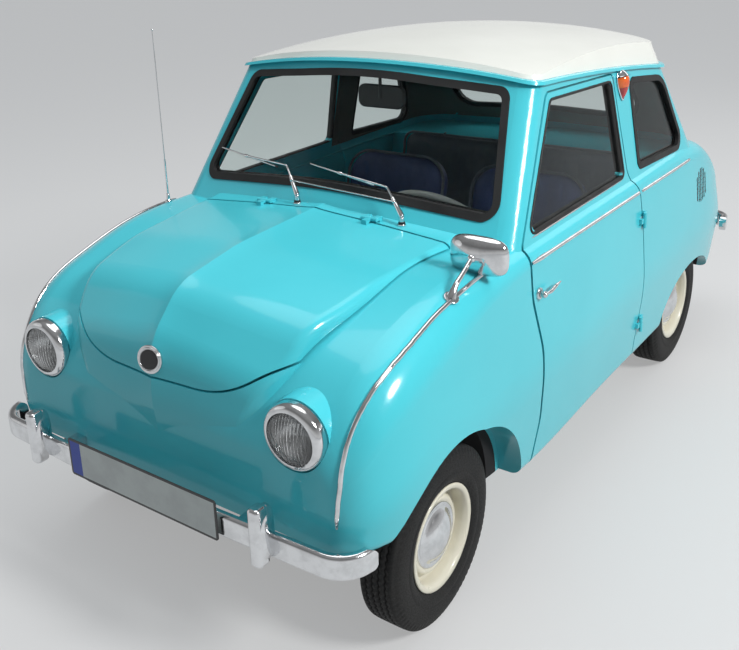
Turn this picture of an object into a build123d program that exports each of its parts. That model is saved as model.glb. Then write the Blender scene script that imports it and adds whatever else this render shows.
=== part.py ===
from build123d import *
from math import asin, atan, cos, degrees, radians, sin
import os

os.makedirs("parts", exist_ok=True)

# Frame: +Z up, the origin on the ground under the middle of the car,
# the front towards -Y and the car's left side towards +X. Millimetres.

# Driving dimensions
wheelbase = 1800
front_axle_y = -967
rear_axle_y = front_axle_y + wheelbase
track = 1090
tyre_radius = 240
side_wall = 46
pillar_wall = 28
floor_wall = 30
roof_wall = 24
lid_wall = 22
panel_gap = 6
lid_gap = 8
seat = 0.3
glass_thickness = 5
seal_width = 20
roof_apex_z = 1360
roof_apex_y = 30
rail_depth = 9
rail_reach = 12

wheel_x = track / 2

# Lower body: one outline for each station from nose to tail.
# y, half width, height of the widest point, half width at the sill, underside,
# shoulder half width, shoulder height, crown height, shoulder radius, side radius
body_stations = [
    (-1342, 528, 480, 500, 395, 508, 582, 592, 50, 100),
    (-1333, 566, 485, 538, 388, 542, 622, 636, 65, 120),
    (-1312, 594, 490, 565, 384, 568, 664, 682, 85, 160),
    (-1270, 618, 500, 592, 380, 590, 722, 744, 100, 250),
    (-1200, 634, 510, 612, 374, 606, 780, 802, 112, 400),
    (-1060, 641, 520, 622, 340, 613, 836, 852, 115, 700),
    (-860, 642, 520, 625, 280, 613, 880, 886, 95, 700),
    (-600, 642, 520, 627, 235, 609, 884, 890, 60, 700),
    (-100, 642, 520, 627, 235, 606, 880, 892, 46, 700),
    (420, 642, 520, 627, 235, 606, 876, 888, 46, 700),
    (820, 641, 520, 626, 245, 605, 868, 884, 60, 700),
    (1020, 638, 515, 622, 265, 600, 836, 862, 85, 600),
    (1190, 628, 505, 608, 290, 586, 768, 808, 108, 450),
    (1305, 604, 490, 580, 318, 562, 682, 730, 100, 250),
    (1376, 562, 470, 535, 345, 520, 590, 632, 70, 130),
    (1406, 505, 450, 476, 368, 470, 530, 556, 45, 80),
]
sill_radius = 34
crown_radius = 1500

# Raised bonnet dome between the wings: side profile at the centre crease
# and at the outer edge, as corner y, height and radius
dome_centre = [
    (-1338, 500, 0), (-1354, 640, 300), (-1336, 782, 150), (-1225, 896, 150),
    (-1000, 930, 500), (-560, 943, 0), (-560, 640, 0), (-1240, 480, 0),
]
dome_edge = [
    (-1318, 500, 0), (-1318, 600, 300), (-1296, 700, 150), (-1188, 836, 150),
    (-980, 880, 500), (-560, 906, 0), (-560, 600, 0), (-1200, 460, 0),
]
dome_edge_x = 460
# Share of the way from the crease to the edge, and share of the fall there
dome_falls = [(0, 0), (0.08, 0.11), (0.25, 0.24), (0.5, 0.44), (0.75, 0.69), (1, 1)]
# The dome's foot in plan: x, y and corner radius of the right half
dome_plan = [(452, -560, 0), (408, -1080, 900), (352, -1292, 150), (180, -1370, 260)]
dome_radius = 30

# Cabin outline in plan at two heights: height, front corner x and y,
# front centre y, rear corner x and y, rear centre y
cabin_low = (850, 592, -618, -697, 592, 965, 1012)
cabin_high = (1400, 491, -254, -383, 489, 585, 640)
front_corner_radius = 60
rear_corner_radius = 150
screen_radius = 1500

# The drip rail lies on a surface curved both ways: its highest point and radii
rail_apex_y = -949
rail_apex_z = 1336
rail_along = 12100
rail_across = 3084
roof_along = 4200
roof_across = 2300

# Side outlines as y, height and corner radius
door_outline = [
    (-562, 190, 8), (-503, 370, 160), (-506, 590, 200), (-552, 740, 120), (-552, 885, 30),
    (-290, 1243, 40), (200, 1220, 24), (228, 905, 60), (284, 820, 60), (300, 700, 120),
    (296, 450, 140), (272, 310, 140), (264, 190, 8),
]
door_front_relief = 5
door_frame_x = 578
door_hinge_y = 284
door_hinge_low = (644, 365)
door_hinge_high = (631, 733)
ring_radius = 6
ring_length = 16.5
ring_shift = 17
lid_hinge_x = 187
bonnet_hinge_y = -664
bonnet_hinge_z = 934
engine_lid_hinge_y = 1015
engine_lid_hinge_z = 870
door_window = [
    (-500, 902, 24), (-266, 1214, 24), (174, 1194, 18), (192, 898, 24),
]
quarter_window = [
    (318, 888, 30), (324, 1188, 40), (640, 1150, 110), (790, 866, 50),
]
# Front and rear outlines as x, height and corner radius of the right half
screen_outline = [(0, 982, 2000), (527, 938, 42), (452, 1262, 42), (0, 1302, 2000)]
rear_outline = [(0, 930, 3000), (410, 922, 80), (368, 1158, 80), (0, 1176, 3000)]
bonnet_seam_y = -661
bonnet_lip = [(215, 688, 280), (360, 780, 280), (560, 800, 5), (560, 1000, 5)]
engine_lid_half = 330
engine_lid_y = 1015
engine_lid_z = 470

# Upright slots of the engine's air vent in each side: y, middle height and length
vent_slots = [(892, 684, 92), (914, 688, 116), (936, 690, 128), (958, 690, 126),
              (980, 688, 112), (1002, 684, 84)]
vent_floor_x = 612
vent_slot_width = 12

# Wheel arches in the side: centre height, half length, height above the centre
front_arch = (230, 345, 285)
rear_arch = (215, 325, 190)
rear_arch_shift = 30
front_housing_radius = 292
rear_housing_radius = 262
housing_wall = 22
front_housing_x = 330
rear_housing_x = 420
boot_half = 305


def row_at(y):
    """A body row worked out between two stations of the table."""
    for low, high in zip(body_stations, body_stations[1:]):
        if low[0] <= y <= high[0]:
            share = (y - low[0]) / (high[0] - low[0])
            return [a + share * (b - a) for a, b in zip(low, high)]
    raise ValueError("the station lies outside the body")


def body_outline(row, side=0, floor=0, top=0):
    """Closed outline across the car at one station, inset by wall thicknesses."""
    y, half, wide_z, sill, under, shoulder, shoulder_z, crown, radius, side_radius = row
    radius = max(radius - min(side, top), 12)
    with BuildSketch(Plane.XZ.offset(-y)) as outline:
        with BuildLine():
            FilletPolyline(
                (-sill + side, under + floor),
                (sill - side, under + floor),
                (half - side, wide_z),
                (shoulder - side, shoulder_z - top),
                (0, crown - top),
                (-shoulder + side, shoulder_z - top),
                (-half + side, wide_z),
                radius=[sill_radius, sill_radius, side_radius, radius,
                        crown_radius, radius, side_radius],
                close=True,
            )
        make_face()
    return outline.sketch


def corner_sketch(plane, corners):
    """Closed outline with a radius at each corner, given as two places and a radius."""
    with BuildSketch(plane) as outline:
        with BuildLine():
            FilletPolyline(*[(a, b) for a, b, radius in corners],
                           radius=[radius for a, b, radius in corners], close=True)
        make_face()
    return outline.sketch


def mirrored(corners):
    """The right half's corners followed by the same corners on the left."""
    left = [(-x, z, radius) for x, z, radius in reversed(corners) if x != 0]
    return corners + left


def cabin_outline(height, inset=0):
    """Closed plan outline of the cabin at one height, inset from its outer face."""
    share = (height - cabin_low[0]) / (cabin_high[0] - cabin_low[0])
    fx, fy, fc, rx, ry, rc = [
        low + share * (high - low) for low, high in zip(cabin_low[1:], cabin_high[1:])
    ]
    return corner_sketch(Plane.XY.offset(height), [
        (0, fc + inset, screen_radius),
        (fx - inset, fy + inset, front_corner_radius),
        (rx - inset, ry - inset, rear_corner_radius),
        (0, rc - inset, screen_radius),
        (-rx + inset, ry - inset, rear_corner_radius),
        (-fx + inset, fy + inset, front_corner_radius),
    ])


def cabin_block(bottom, top, inset=0):
    """Tapering block between two cabin outlines."""
    with BuildPart() as block:
        loft(sections=[cabin_outline(bottom, inset), cabin_outline(top, inset)])
    return block.part


def crowned_block(apex_y, apex_z, along, across, depth, reach=1700):
    """Block under a surface curved both ways: a slice turned about a far axis."""
    half = 800
    drop = across - (across ** 2 - half ** 2) ** 0.5
    turn = 2 * degrees(asin(reach / along))
    centre = Axis((0, apex_y, apex_z - along), (1, 0, 0))
    with BuildPart() as block:
        with BuildSketch(Plane((0, apex_y, 0), x_dir=(1, 0, 0), z_dir=(0, -1, 0))):
            with BuildLine():
                ThreePointArc((-half, apex_z - drop), (0, apex_z), (half, apex_z - drop))
                Polyline((half, apex_z - drop), (half, apex_z - depth),
                         (-half, apex_z - depth), (-half, apex_z - drop))
            make_face()
        revolve(axis=centre, revolution_arc=turn)
    return block.part.rotate(centre, -turn / 2)


def side_prism(corners, low, high, grow=0):
    """Block across the car with a side outline, between two widths."""
    with BuildPart() as block:
        with BuildSketch(Plane.YZ.offset(low)):
            add(offset(corner_sketch(Plane.XY, corners), amount=grow) if grow
                else corner_sketch(Plane.XY, corners))
        extrude(amount=high - low)
    return block.part


def front_prism(corners, low, high, grow=0):
    """Block along the car with a front outline, between two stations."""
    with BuildPart() as block:
        with BuildSketch(Plane.XZ.offset(-high)):
            add(offset(corner_sketch(Plane.XY, corners), amount=grow) if grow
                else corner_sketch(Plane.XY, corners))
        extrude(amount=high - low)
    return block.part


def dome_block(inset=0):
    """The bonnet dome, or the hollow under it at a distance."""
    def lowered(corners):
        return [(y + inset if y < -1100 else y, z - inset, radius) for y, z, radius in corners]

    def profile(side, step, fall):
        corners = [tuple(a + fall * (b - a) for a, b in zip(near, far))
                   for near, far in zip(lowered(dome_centre), lowered(dome_edge))]
        return corner_sketch(Plane.YZ.offset(side * step * dome_edge_x), corners)

    plan = [(x - 1.6 * inset, y + (2 * inset if y < -1200 else 0), radius)
            for x, y, radius in dome_plan]
    with BuildPart() as block:
        for side in (-1, 1):
            loft(sections=[profile(side, step, fall) for step, fall in dome_falls])
        with BuildSketch(Plane.XY.offset(400)):
            add(corner_sketch(Plane.XY, mirrored(plan)))
        extrude(amount=600, mode=Mode.INTERSECT)
    return block.part


def save(solid, name):
    """Label one finished piece and write it."""
    solid.label = name
    export_step(solid, "parts/" + name + ".step")


# Body masses
with BuildPart() as lower:
    loft(sections=[body_outline(row) for row in body_stations])

dome = dome_block()
walls = dome.faces().filter_by(lambda face: abs(face.normal_at().Z) < 0.001
                               and face.center().Y < -600)
tops = dome.faces().filter_by(lambda face: face.normal_at().Z > 0.05)
dome = dome.fillet(dome_radius, walls.edges() & tops.edges())
dome_hollow = dome_block(lid_wall)

roof_surface = crowned_block(roof_apex_y, roof_apex_z, roof_along, roof_across, 700)
rail_surface = crowned_block(rail_apex_y, rail_apex_z, rail_along, rail_across, 900, 2300)
cabin = cabin_block(760, 1400) & roof_surface
cabin_walls = cabin & rail_surface
rail_slice = rail_surface - rail_surface.translate((0, 0, -rail_depth))
drip_rail = cabin_block(1100, 1400, -rail_reach) & rail_slice

# Hollows
inner_stations = (-572, -300, 100, 420, 640)
with BuildPart() as cabin_hollow:
    loft(sections=[body_outline(row_at(y), side_wall, floor_wall, 26) for y in inner_stations],
         ruled=True)
upper_hollow = cabin_block(845, 1400, pillar_wall) & roof_surface.translate((0, 0, -roof_wall))

engine_stations = [(672, 76), (960, 76), (1060, 26), (1190, 26), (1300, 26), (1360, 26), (1380, 26)]
with BuildPart() as engine_hollow:
    loft(sections=[body_outline(row_at(y), 60, -90, top) for y, top in engine_stations],
         ruled=True)

boot_bottom, boot_top = 395, 714
boot_front, boot_back = -1300, -606
boot_corner = 120
lip_width = 18
with BuildPart() as boot_hollow:
    with Locations((0, (boot_front + boot_back) / 2, (boot_bottom + boot_top) / 2)):
        Box(2 * boot_half, boot_back - boot_front, boot_top - boot_bottom)
    fillet(boot_hollow.edges().filter_by(Axis.Z).group_by(Axis.Y)[0], boot_corner)
    add(dome_hollow & front_prism(mirrored(bonnet_lip), -1500, boot_back, -lip_width))


def housing(axle_y, radius, inner_x, side):
    """Round wheel housing on one side, open to the outside."""
    with BuildPart() as block:
        with BuildSketch(Plane.YZ.offset(side * inner_x)):
            with Locations((axle_y, tyre_radius)):
                Circle(radius)
            with Locations((axle_y, tyre_radius - 200)):
                Rectangle(2 * radius, 400)
        extrude(amount=side * 400)
    return block.part


def arch(axle_y, size, side, start):
    """Oval cut through the wing's skin over a wheel."""
    centre_z, half_length, height = size
    with BuildPart() as block:
        with BuildSketch(Plane.YZ.offset(side * start)):
            with Locations((axle_y, centre_z)):
                Ellipse(half_length, height)
            with Locations((axle_y, centre_z - 150)):
                Rectangle(2 * half_length, 300)
        extrude(amount=side * 200)
    return block.part


# Openings for doors, lids and glass
with BuildPart() as sill_keep:
    with Locations(((420 + door_frame_x) / 2, -100, 250)):
        Box(door_frame_x - 420, 1000, 100)
relieved = [(y + door_front_relief if y < 0 else y, z, radius) for y, z, radius in door_outline]
door_cut = side_prism(door_outline, 420, 760) - sill_keep.part
door_shape = side_prism(relieved, 420, 760, -panel_gap) - sill_keep.part
door_glass_cut = side_prism(door_window, 420, 760)
quarter_cut = side_prism(quarter_window, 420, 760)
screen_cut = front_prism(mirrored(screen_outline), -900, -200)
rear_cut = front_prism(mirrored(rear_outline), 560, 1200)
bonnet_cut = front_prism(mirrored(bonnet_lip), -1500, bonnet_seam_y)
bonnet_shape = front_prism(mirrored(bonnet_lip), -1500, bonnet_seam_y - lid_gap, -panel_gap)
engine_lid_corners = [(engine_lid_half, engine_lid_z, 60), (engine_lid_half, 1000, 5)]
lid_cut = front_prism(mirrored(engine_lid_corners), engine_lid_y, 1500)
lid_shape = front_prism(mirrored(engine_lid_corners), engine_lid_y + lid_gap, 1500, -panel_gap)

# Body shell
nose = dome - bonnet_cut
shell = lower.part + nose + cabin_walls + drip_rail
shell = shell - cabin_hollow.part - upper_hollow - engine_hollow.part - boot_hollow.part
for side in (1, -1):
    front = housing(front_axle_y, front_housing_radius + housing_wall,
                    front_housing_x - housing_wall, side) & lower.part
    rear = housing(rear_axle_y, rear_housing_radius + housing_wall,
                   rear_housing_x - housing_wall, side) & lower.part
    shell = shell + front + rear
    shell = shell - housing(front_axle_y, front_housing_radius, front_housing_x, side)
    skin = housing(rear_axle_y, rear_housing_radius, rear_housing_x, side)
    with BuildPart() as inside:
        with Locations((side * 500, rear_axle_y, 300)):
            Box(2 * (616 - 500), 700, 1000)
    shell = shell - (skin & inside.part)
    shell = shell - arch(front_axle_y + 25, front_arch, side, 560)
    shell = shell - arch(rear_axle_y + rear_arch_shift, rear_arch, side, 560)

with BuildPart() as axle_slots:
    with Locations((0, rear_axle_y, 240)):
        Box(2 * 430, 90, 120)
with BuildPart() as vents:
    for side in (1, -1):
        for y, middle_z, length in vent_slots:
            with Locations((side * (vent_floor_x + 20), y, middle_z)):
                Box(40, vent_slot_width, length)
shell = shell - axle_slots.part - vents.part
whole_shell = shell
for cut in (door_cut, quarter_cut):
    shell = shell - cut - mirror(cut, about=Plane.YZ)
shell = shell - screen_cut - rear_cut - lid_cut


def hinge_rings(side, door_side):
    """Rings of the outside door hinges on their feet: the middle one turns with the door."""
    reach = -1 if door_side else 1
    (low_x, low_z), (high_x, high_z) = door_hinge_low, door_hinge_high
    lean = side * degrees(atan((low_x - high_x) / (high_z - low_z)))
    with BuildPart() as rings:
        for x, height in (door_hinge_low, door_hinge_high):
            with Locations(Location((side * x, door_hinge_y, height), (0, -lean, 0))):
                for shift in ((0,) if door_side else (-ring_shift, ring_shift)):
                    with Locations((0, 0, shift)):
                        Cylinder(ring_radius, ring_length)
                    with Locations((-side * 3, reach * 13, shift)):
                        Box(5, 26, ring_length)
                    with Locations((-side * 11, reach * 21, shift)):
                        Box(20, 10, ring_length)
    return rings.part


def lid_rings(y, z, reach, shifts):
    """Rings of a lid's two outside hinges, on feet set towards one end of the car."""
    with BuildPart() as rings:
        for x in (-lid_hinge_x, lid_hinge_x):
            for shift in shifts:
                with Locations(Location((x + shift, y, z), (0, 90, 0))):
                    Cylinder(ring_radius, ring_length)
                with Locations((x + shift, y + reach * 14, z - 1)):
                    Box(ring_length, 28, 8)
                with Locations((x + shift, y + reach * 21, z - 13)):
                    Box(ring_length, 14, 32)
    return rings.part


shell = shell + lid_rings(bonnet_hinge_y, bonnet_hinge_z, 1, (-ring_shift, ring_shift))
shell = shell + lid_rings(engine_lid_hinge_y, engine_lid_hinge_z, -1, (-ring_shift, ring_shift))
for side in (1, -1):
    shell = shell + hinge_rings(side, False)
    name = "left" if side > 0 else "right"
    shape = door_shape if side > 0 else mirror(door_shape, about=Plane.YZ)
    window = door_glass_cut if side > 0 else mirror(door_glass_cut, about=Plane.YZ)
    door = (whole_shell & shape) - window + hinge_rings(side, True)
    save(door, "door_" + name)

bonnet = (dome - dome_hollow - lower.part.translate((0, -5, 5))) & bonnet_shape
lid = (lower.part - engine_hollow.part) & lid_shape
save(bonnet + lid_rings(bonnet_hinge_y, bonnet_hinge_z, -1, (0,)), "front_lid")
save(lid + lid_rings(engine_lid_hinge_y, engine_lid_hinge_z, 1, (0,)), "engine_lid")

roof = cabin - rail_surface.translate((0, 0, seat)) - upper_hollow
save(roof, "roof_panel")


def glass_layer(outer):
    """A thin layer just inside the cabin's outer face."""
    return cabin_block(800, 1390, outer) - cabin_block(790, 1400, outer + glass_thickness)


glass = glass_layer(9)
seal_layer = cabin_block(800, 1390, -3) - cabin_block(790, 1400, 22)
seals = []
for name, corners, prism in (
    ("windscreen", mirrored(screen_outline), lambda c, g: front_prism(c, -900, -200, g)),
    ("rear_window", mirrored(rear_outline), lambda c, g: front_prism(c, 560, 1200, g)),
    ("quarter_windows", quarter_window, lambda c, g: side_prism(c, 420, 760, g)),
):
    pane = glass & prism(corners, -seal_width / 2)
    ring = seal_layer & (prism(corners, -seat) - prism(corners, -seal_width))
    keep = (cabin_block(800, 1390, 9 - seat) - cabin_block(790, 1400, 9 + glass_thickness + seat)) \
        & prism(corners, -seal_width / 2 + seat)
    ring = ring - keep
    if name == "quarter_windows":
        pane = Compound(children=[pane, mirror(pane, about=Plane.YZ)])
        ring = [ring, mirror(ring, about=Plane.YZ)]
    else:
        ring = [ring]
    seals += ring
    save(pane, name)
save(Compound(children=seals), "window_seals")
for side in (1, -1):
    shape = side_prism(door_window, 420, 760, -seat)
    pane = glass & (shape if side > 0 else mirror(shape, about=Plane.YZ))
    save(pane, "door_glass_left" if side > 0 else "door_glass_right")


# Wheels: profiles as place along the axle and radius
tyre_profile = [
    (-43, 128, 0), (-43, 144, 0), (-56, 190, 0), (-40, tyre_radius, 0), (40, tyre_radius, 0),
    (55, 217, 0), (56, 174, 0), (43, 144, 0), (43, 128, 0),
]
stub_radius = 18
stub_fit = 0.08
hub_back = -10
bore_end = 20


def wheel_axis(side, axle_y):
    return Axis((side * wheel_x, axle_y, tyre_radius), (side, 0, 0))


def wheel_plane(side, axle_y):
    """Plane with its first axis along the axle outwards and its second upwards."""
    return Plane((side * wheel_x, axle_y, tyre_radius), x_dir=(side, 0, 0), z_dir=(0, -side, 0))


def tyre(side, axle_y):
    with BuildPart() as ring:
        add(corner_sketch(wheel_plane(side, axle_y), tyre_profile))
        revolve(axis=wheel_axis(side, axle_y))
    return ring.part


def rim(side, axle_y):
    """Pressed disc wheel with its hub boss and domed hubcap, as one turned solid."""
    bore = stub_radius + stub_fit
    with BuildPart() as disc:
        with BuildSketch(wheel_plane(side, axle_y)):
            with BuildLine():
                Polyline((bore_end, 0), (bore_end, bore), (hub_back, bore), (hub_back, 36),
                         (12, 38), (16, 94), (-6, 117), (-6, 122), (-49, 122), (-49, 142),
                         (-43.3, 142), (-43.3, 127.7), (43.3, 127.7), (43.3, 142), (49, 142),
                         (49, 122), (4, 120), (27, 98), (22, 80), (27, 77))
                TangentArc((51, 0), (27, 77), tangent=(0, 1))
                Line((51, 0), (bore_end, 0))
            make_face()
        revolve(axis=wheel_axis(side, axle_y))
    return disc.part


for side, side_name in ((1, "left"), (-1, "right")):
    for axle_y, end_name in ((front_axle_y, "front"), (rear_axle_y, "rear")):
        place = end_name + "_" + side_name
        save(tyre(side, axle_y), "tyre_" + place)
        save(rim(side, axle_y), "rim_" + place)

# Front suspension
kingpin_x = 470
kingpin_radius = 9
upright_radius = 16
upright_half = 72
drum_radius = 84
beam_radius = 22


def knuckle(side):
    """Upright with kingpin ends, stub axle and brake drum."""
    with BuildPart() as block:
        with Locations((side * kingpin_x, front_axle_y, tyre_radius)):
            Cylinder(upright_radius, 2 * upright_half - 1)
            Cylinder(kingpin_radius, 2 * upright_half + 34)
        with Locations(Location((side * (kingpin_x + 47), front_axle_y, tyre_radius), (0, 90, 0))):
            Cylinder(stub_radius, 94)
        with Locations(Location((side * (wheel_x - 31), front_axle_y, tyre_radius), (0, 90, 0))):
            Cylinder(drum_radius, 28)
    return block.part


save(knuckle(1), "knuckle_left")
save(knuckle(-1), "knuckle_right")

with BuildPart() as front_axle:
    with Locations(Location((0, front_axle_y, tyre_radius), (0, 90, 0))):
        Cylinder(beam_radius, 2 * (kingpin_x - 26))
    for side in (1, -1):
        with Locations((side * (kingpin_x - 27), front_axle_y, tyre_radius)):
            Box(14, 40, 2 * upright_half + 36)
        with Locations(*[(side * (kingpin_x - 6), front_axle_y, tyre_radius + up * (upright_half + 9))
                         for up in (1, -1)]):
            Box(48, 40, 18)
        with Locations(*[(side * kingpin_x, front_axle_y, tyre_radius + up * (upright_half + 9))
                         for up in (1, -1)]):
            Cylinder(kingpin_radius + stub_fit, 30, mode=Mode.SUBTRACT)
        with Locations((side * 200, front_axle_y, tyre_radius + 36)):
            Box(50, 60, 70.6)
front_axle_part = front_axle.part - lower.part
save(front_axle_part, "front_axle")

# Power unit and rear axle
with BuildPart() as engine:
    with Locations((0, 1130, 420)):
        Box(420, 300, 300)
    with Locations((0, rear_axle_y + 60, 300)):
        Box(220, 260, 200)
    with Locations((0, 722.3, 320)):
        Box(100, 100, 60)
save(engine.part, "engine")

with BuildPart() as rear_axle:
    for side in (1, -1):
        with Locations(Location((side * (110.3 + wheel_x - 45) / 2, rear_axle_y, tyre_radius),
                                (0, 90, 0))):
            Cylinder(26, wheel_x - 45 - 110.3)
        with Locations(Location((side * (wheel_x - 15), rear_axle_y, tyre_radius), (0, 90, 0))):
            Cylinder(stub_radius, 68)
        with Locations(Location((side * (wheel_x - 31), rear_axle_y, tyre_radius), (0, 90, 0))):
            Cylinder(drum_radius, 28)
save(rear_axle.part, "rear_axle")

tail_pipe_x = -150
tail_pipe_z = 285
tail_pipe_radius = 16
with BuildPart() as exhaust:
    with Locations(Location((0, 1345, 300), (0, 90, 0))):
        Cylinder(44, 420)
    with Locations((120, 1295.6, 300)):
        Box(30, 30.6, 30)
    with Locations(Location((tail_pipe_x, 1375, tail_pipe_z), (90, 0, 0))):
        Cylinder(24, 42)
    with Locations(Location((tail_pipe_x, 1400, tail_pipe_z), (90, 0, 0))):
        Cylinder(tail_pipe_radius, 80)
save(exhaust.part, "exhaust")

# Bumpers: path corners in plan as x, y and radius, half height and depth of the section
front_bumper_path = [(612, -1304, 0), (592, -1388, 80), (0, -1412, 4000)]
front_bumper_z = 405
bumper_height = 64
bumper_depth = 26
overrider_x = 390

with BuildPart() as overrider:
    with BuildSketch():
        RectangleRounded(34, 42, 12)
    extrude(amount=150)
    fillet(overrider.faces().filter_by(Axis.Z).edges(), 9)


def bumper_ends(path, middle_z, sign):
    """Everything that a bumper may fill, so that its ends come out round in the side view."""
    end_x, end_y, radius = path[0]
    with BuildPart() as room:
        with Locations((0, end_y + sign * 100, middle_z)):
            Box(2 * end_x - 80, 300, bumper_height + 2)
        for side in (1, -1):
            with BuildSketch(Plane.YZ.offset(side * (end_x - 50))):
                with Locations((end_y + sign * 100, middle_z)):
                    RectangleRounded(200, bumper_height, bumper_height / 2 - 1)
            extrude(amount=side * 100)
    return room.part


def bumper(path, middle_z, sign):
    """Bar round the corners of the car, with overriders in front and its irons behind."""
    with BuildPart() as bar:
        ends = [(x, y, radius) for x, y, radius in path]
        both = ends + [(-x, y, radius) for x, y, radius in reversed(ends[:-1])]
        with BuildLine(Plane.XY.offset(middle_z)) as line:
            FilletPolyline(*[(x, y) for x, y, radius in both],
                           radius=[radius for x, y, radius in both[1:-1]])
        start = line.line @ 0
        with BuildSketch(Plane(origin=start, z_dir=line.line % 0, x_dir=(0, 0, 1))):
            RectangleRounded(bumper_height, bumper_depth, 12)
        sweep(path=line.line)
        add(bumper_ends(path, middle_z, sign), mode=Mode.INTERSECT)
        for x in (overrider_x, -overrider_x):
            with Locations((x, path[-1][1] + sign * 17, middle_z - 38)):
                add(overrider.part)
        for x in (overrider_x, -overrider_x):
            with Locations((x * 0.8, path[-1][1] - sign * 50, middle_z + 10)):
                Box(36, 80, 30)
    return bar.part - lower.part.translate((0, sign * seat, 0))


save(bumper(front_bumper_path, front_bumper_z, -1), "front_bumper")
rear_bumper_path = [(618, 1330, 0), (606, 1422, 60), (0, 1437, 4000)]
save(bumper(rear_bumper_path, 420, 1), "rear_bumper")

with BuildPart() as plate:
    with Locations((0, -1424.6, 425)):
        Box(520, 3, 108)
    fillet(plate.edges().filter_by(Axis.Y), 8)
save(plate.part, "front_plate")

# Headlamps
lamp_x = 427
lamp_z = 656
lamp_front_y = -1350
lamp_radius = 82


def lamp_plane(side):
    """Plane with its first axis outwards from the lamp's middle and its second forwards."""
    return Plane((side * lamp_x, lamp_front_y, lamp_z), x_dir=(1, 0, 0), z_dir=(0, 0, 1))


with BuildPart() as rims:
    for side in (1, -1):
        with BuildSketch(lamp_plane(side)):
            with BuildLine():
                Polyline((64, 8), (64, 90), (72, 90), (72, 34), (lamp_radius, 30),
                         (lamp_radius, 18))
                ThreePointArc((lamp_radius, 18), (76.73, 5.27), (64, 0))
                Line((64, 0), (64, 8))
            make_face()
        revolve(axis=Axis((side * lamp_x, lamp_front_y, lamp_z), (0, 1, 0)))
save(rims.part, "headlamp_rims")
with BuildPart() as lenses:
    for side in (1, -1):
        with BuildSketch(lamp_plane(side)):
            with BuildLine():
                Polyline((0, -14), (0, 60), (40, 50), (63.7, 12), (63.7, 3))
                TangentArc((0, -14), (63.7, 3), tangent=(1, 0))
            make_face()
        revolve(axis=Axis((side * lamp_x, lamp_front_y, lamp_z), (0, 1, 0)))
save(lenses.part, "headlamp_lenses")
with BuildPart() as lamp_holes:
    for side in (1, -1):
        with Locations(Location((side * lamp_x, lamp_front_y + 50, lamp_z), (90, 0, 0))):
            Cylinder(72 + seat, 120)
        with Locations(Location((side * lamp_x, lamp_front_y - 33.3, lamp_z), (90, 0, 0))):
            Cylinder(lamp_radius + seat, 135)
with BuildPart() as nacelles:
    for side in (1, -1):
        with Locations(Location((side * lamp_x, lamp_front_y + 75, lamp_z), (90, 0, 0))):
            Cone(88, 84, 82)
shell = shell + nacelles.part - lamp_holes.part

indicator_tilt = radians(10.5)
with BuildPart() as indicators:
    for side in (1, -1):
        outward = (side * cos(indicator_tilt), 0, sin(indicator_tilt))
        foot = (side * 535.2, 243, 1160)
        with BuildSketch(Plane(foot, x_dir=outward, z_dir=(0, -side, 0))):
            with BuildLine():
                Polyline((30, 0), (0, 0), (0, 17), (12, 17))
                TangentArc((30, 0), (12, 17), tangent=(0, 1))
            make_face()
        revolve(axis=Axis(foot, outward))
save(indicators.part, "indicators")

with BuildPart() as tails:
    for side in (1, -1):
        with Locations((side * 505, 1370, 620)):
            Sphere(42)
tails_part = tails.part - lower.part.translate((0, seat, 0)) - lower.part
save(tails_part, "tail_lamps")

# Cabin
with BuildPart() as dash:
    with BuildSketch(Plane.YZ.offset(-558)):
        with BuildLine():
            FilletPolyline((-571.7, 742), (-500, 742), (-462, 800), (-470, 868), (-571.7, 868),
                           radius=[2, 12, 20, 20, 2], close=True)
        make_face()
    extrude(amount=1116)
save(dash.part & cabin_block(600, 1000, 34), "dashboard")

steering_centre = (235, -345, 800)
steering_tilt = 35
steering_radius = 188
steer_dir = (0, cos(radians(steering_tilt)), sin(radians(steering_tilt)))
steer_side = (0, -sin(radians(steering_tilt)), cos(radians(steering_tilt)))
steer_plane = Plane(steering_centre, x_dir=(1, 0, 0), z_dir=steer_dir)
with BuildPart() as steering_wheel:
    with BuildSketch(Plane(steering_centre, x_dir=(1, 0, 0), z_dir=steer_side)):
        with Locations((steering_radius, 0)):
            Circle(11)
    revolve(axis=Axis(steering_centre, steer_dir))
    with BuildSketch(steer_plane.offset(-22)):
        Circle(34)
    extrude(amount=24)
    with BuildSketch(steer_plane.offset(-8)):
        Rectangle(2 * steering_radius, 22)
    extrude(amount=8)
save(steering_wheel.part, "steering_wheel")
with BuildPart() as column:
    with BuildSketch(steer_plane.offset(-22.3)):
        Circle(19)
    extrude(amount=-300)
save(column.part & cabin_hollow.part, "steering_column")

seat_x = 262


def seat_profile(side):
    """Front seat: cushion and leaning back as one padded form with round upper corners."""
    with BuildPart() as block:
        with BuildSketch(Plane.YZ.offset(side * seat_x - 215)):
            with BuildLine():
                FilletPolyline((-250, 385), (150, 360), (262, 860), (196, 890), (84, 470),
                               (-250, 492), radius=[30, 40, 30, 30, 60, 45], close=True)
            make_face()
        extrude(amount=430)
        fillet(block.edges().filter_by(GeomType.LINE).filter_by(
            lambda edge: abs(edge.tangent_at(0).X) < 0.5), 18)
        with BuildSketch(Plane.XZ.offset(400)):
            with Locations((side * seat_x, 570)):
                RectangleRounded(430, 640, 95)
        extrude(amount=-800, mode=Mode.INTERSECT)
    return block.part


save(Compound(children=[seat_profile(1), seat_profile(-1)]), "front_seats")

with BuildPart() as frames:
    for side in (1, -1):
        for shift in (-150, 150):
            with Locations((side * seat_x + shift, -60, 271.3)):
                Box(24, 330, 12)
            for y, top in ((-180, 380), (60, 365)):
                with Locations((side * seat_x + shift, y, 270)):
                    Cylinder(10, top - 270, align=(Align.CENTER, Align.CENTER, Align.MIN))
save(frames.part, "seat_frames")

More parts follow.
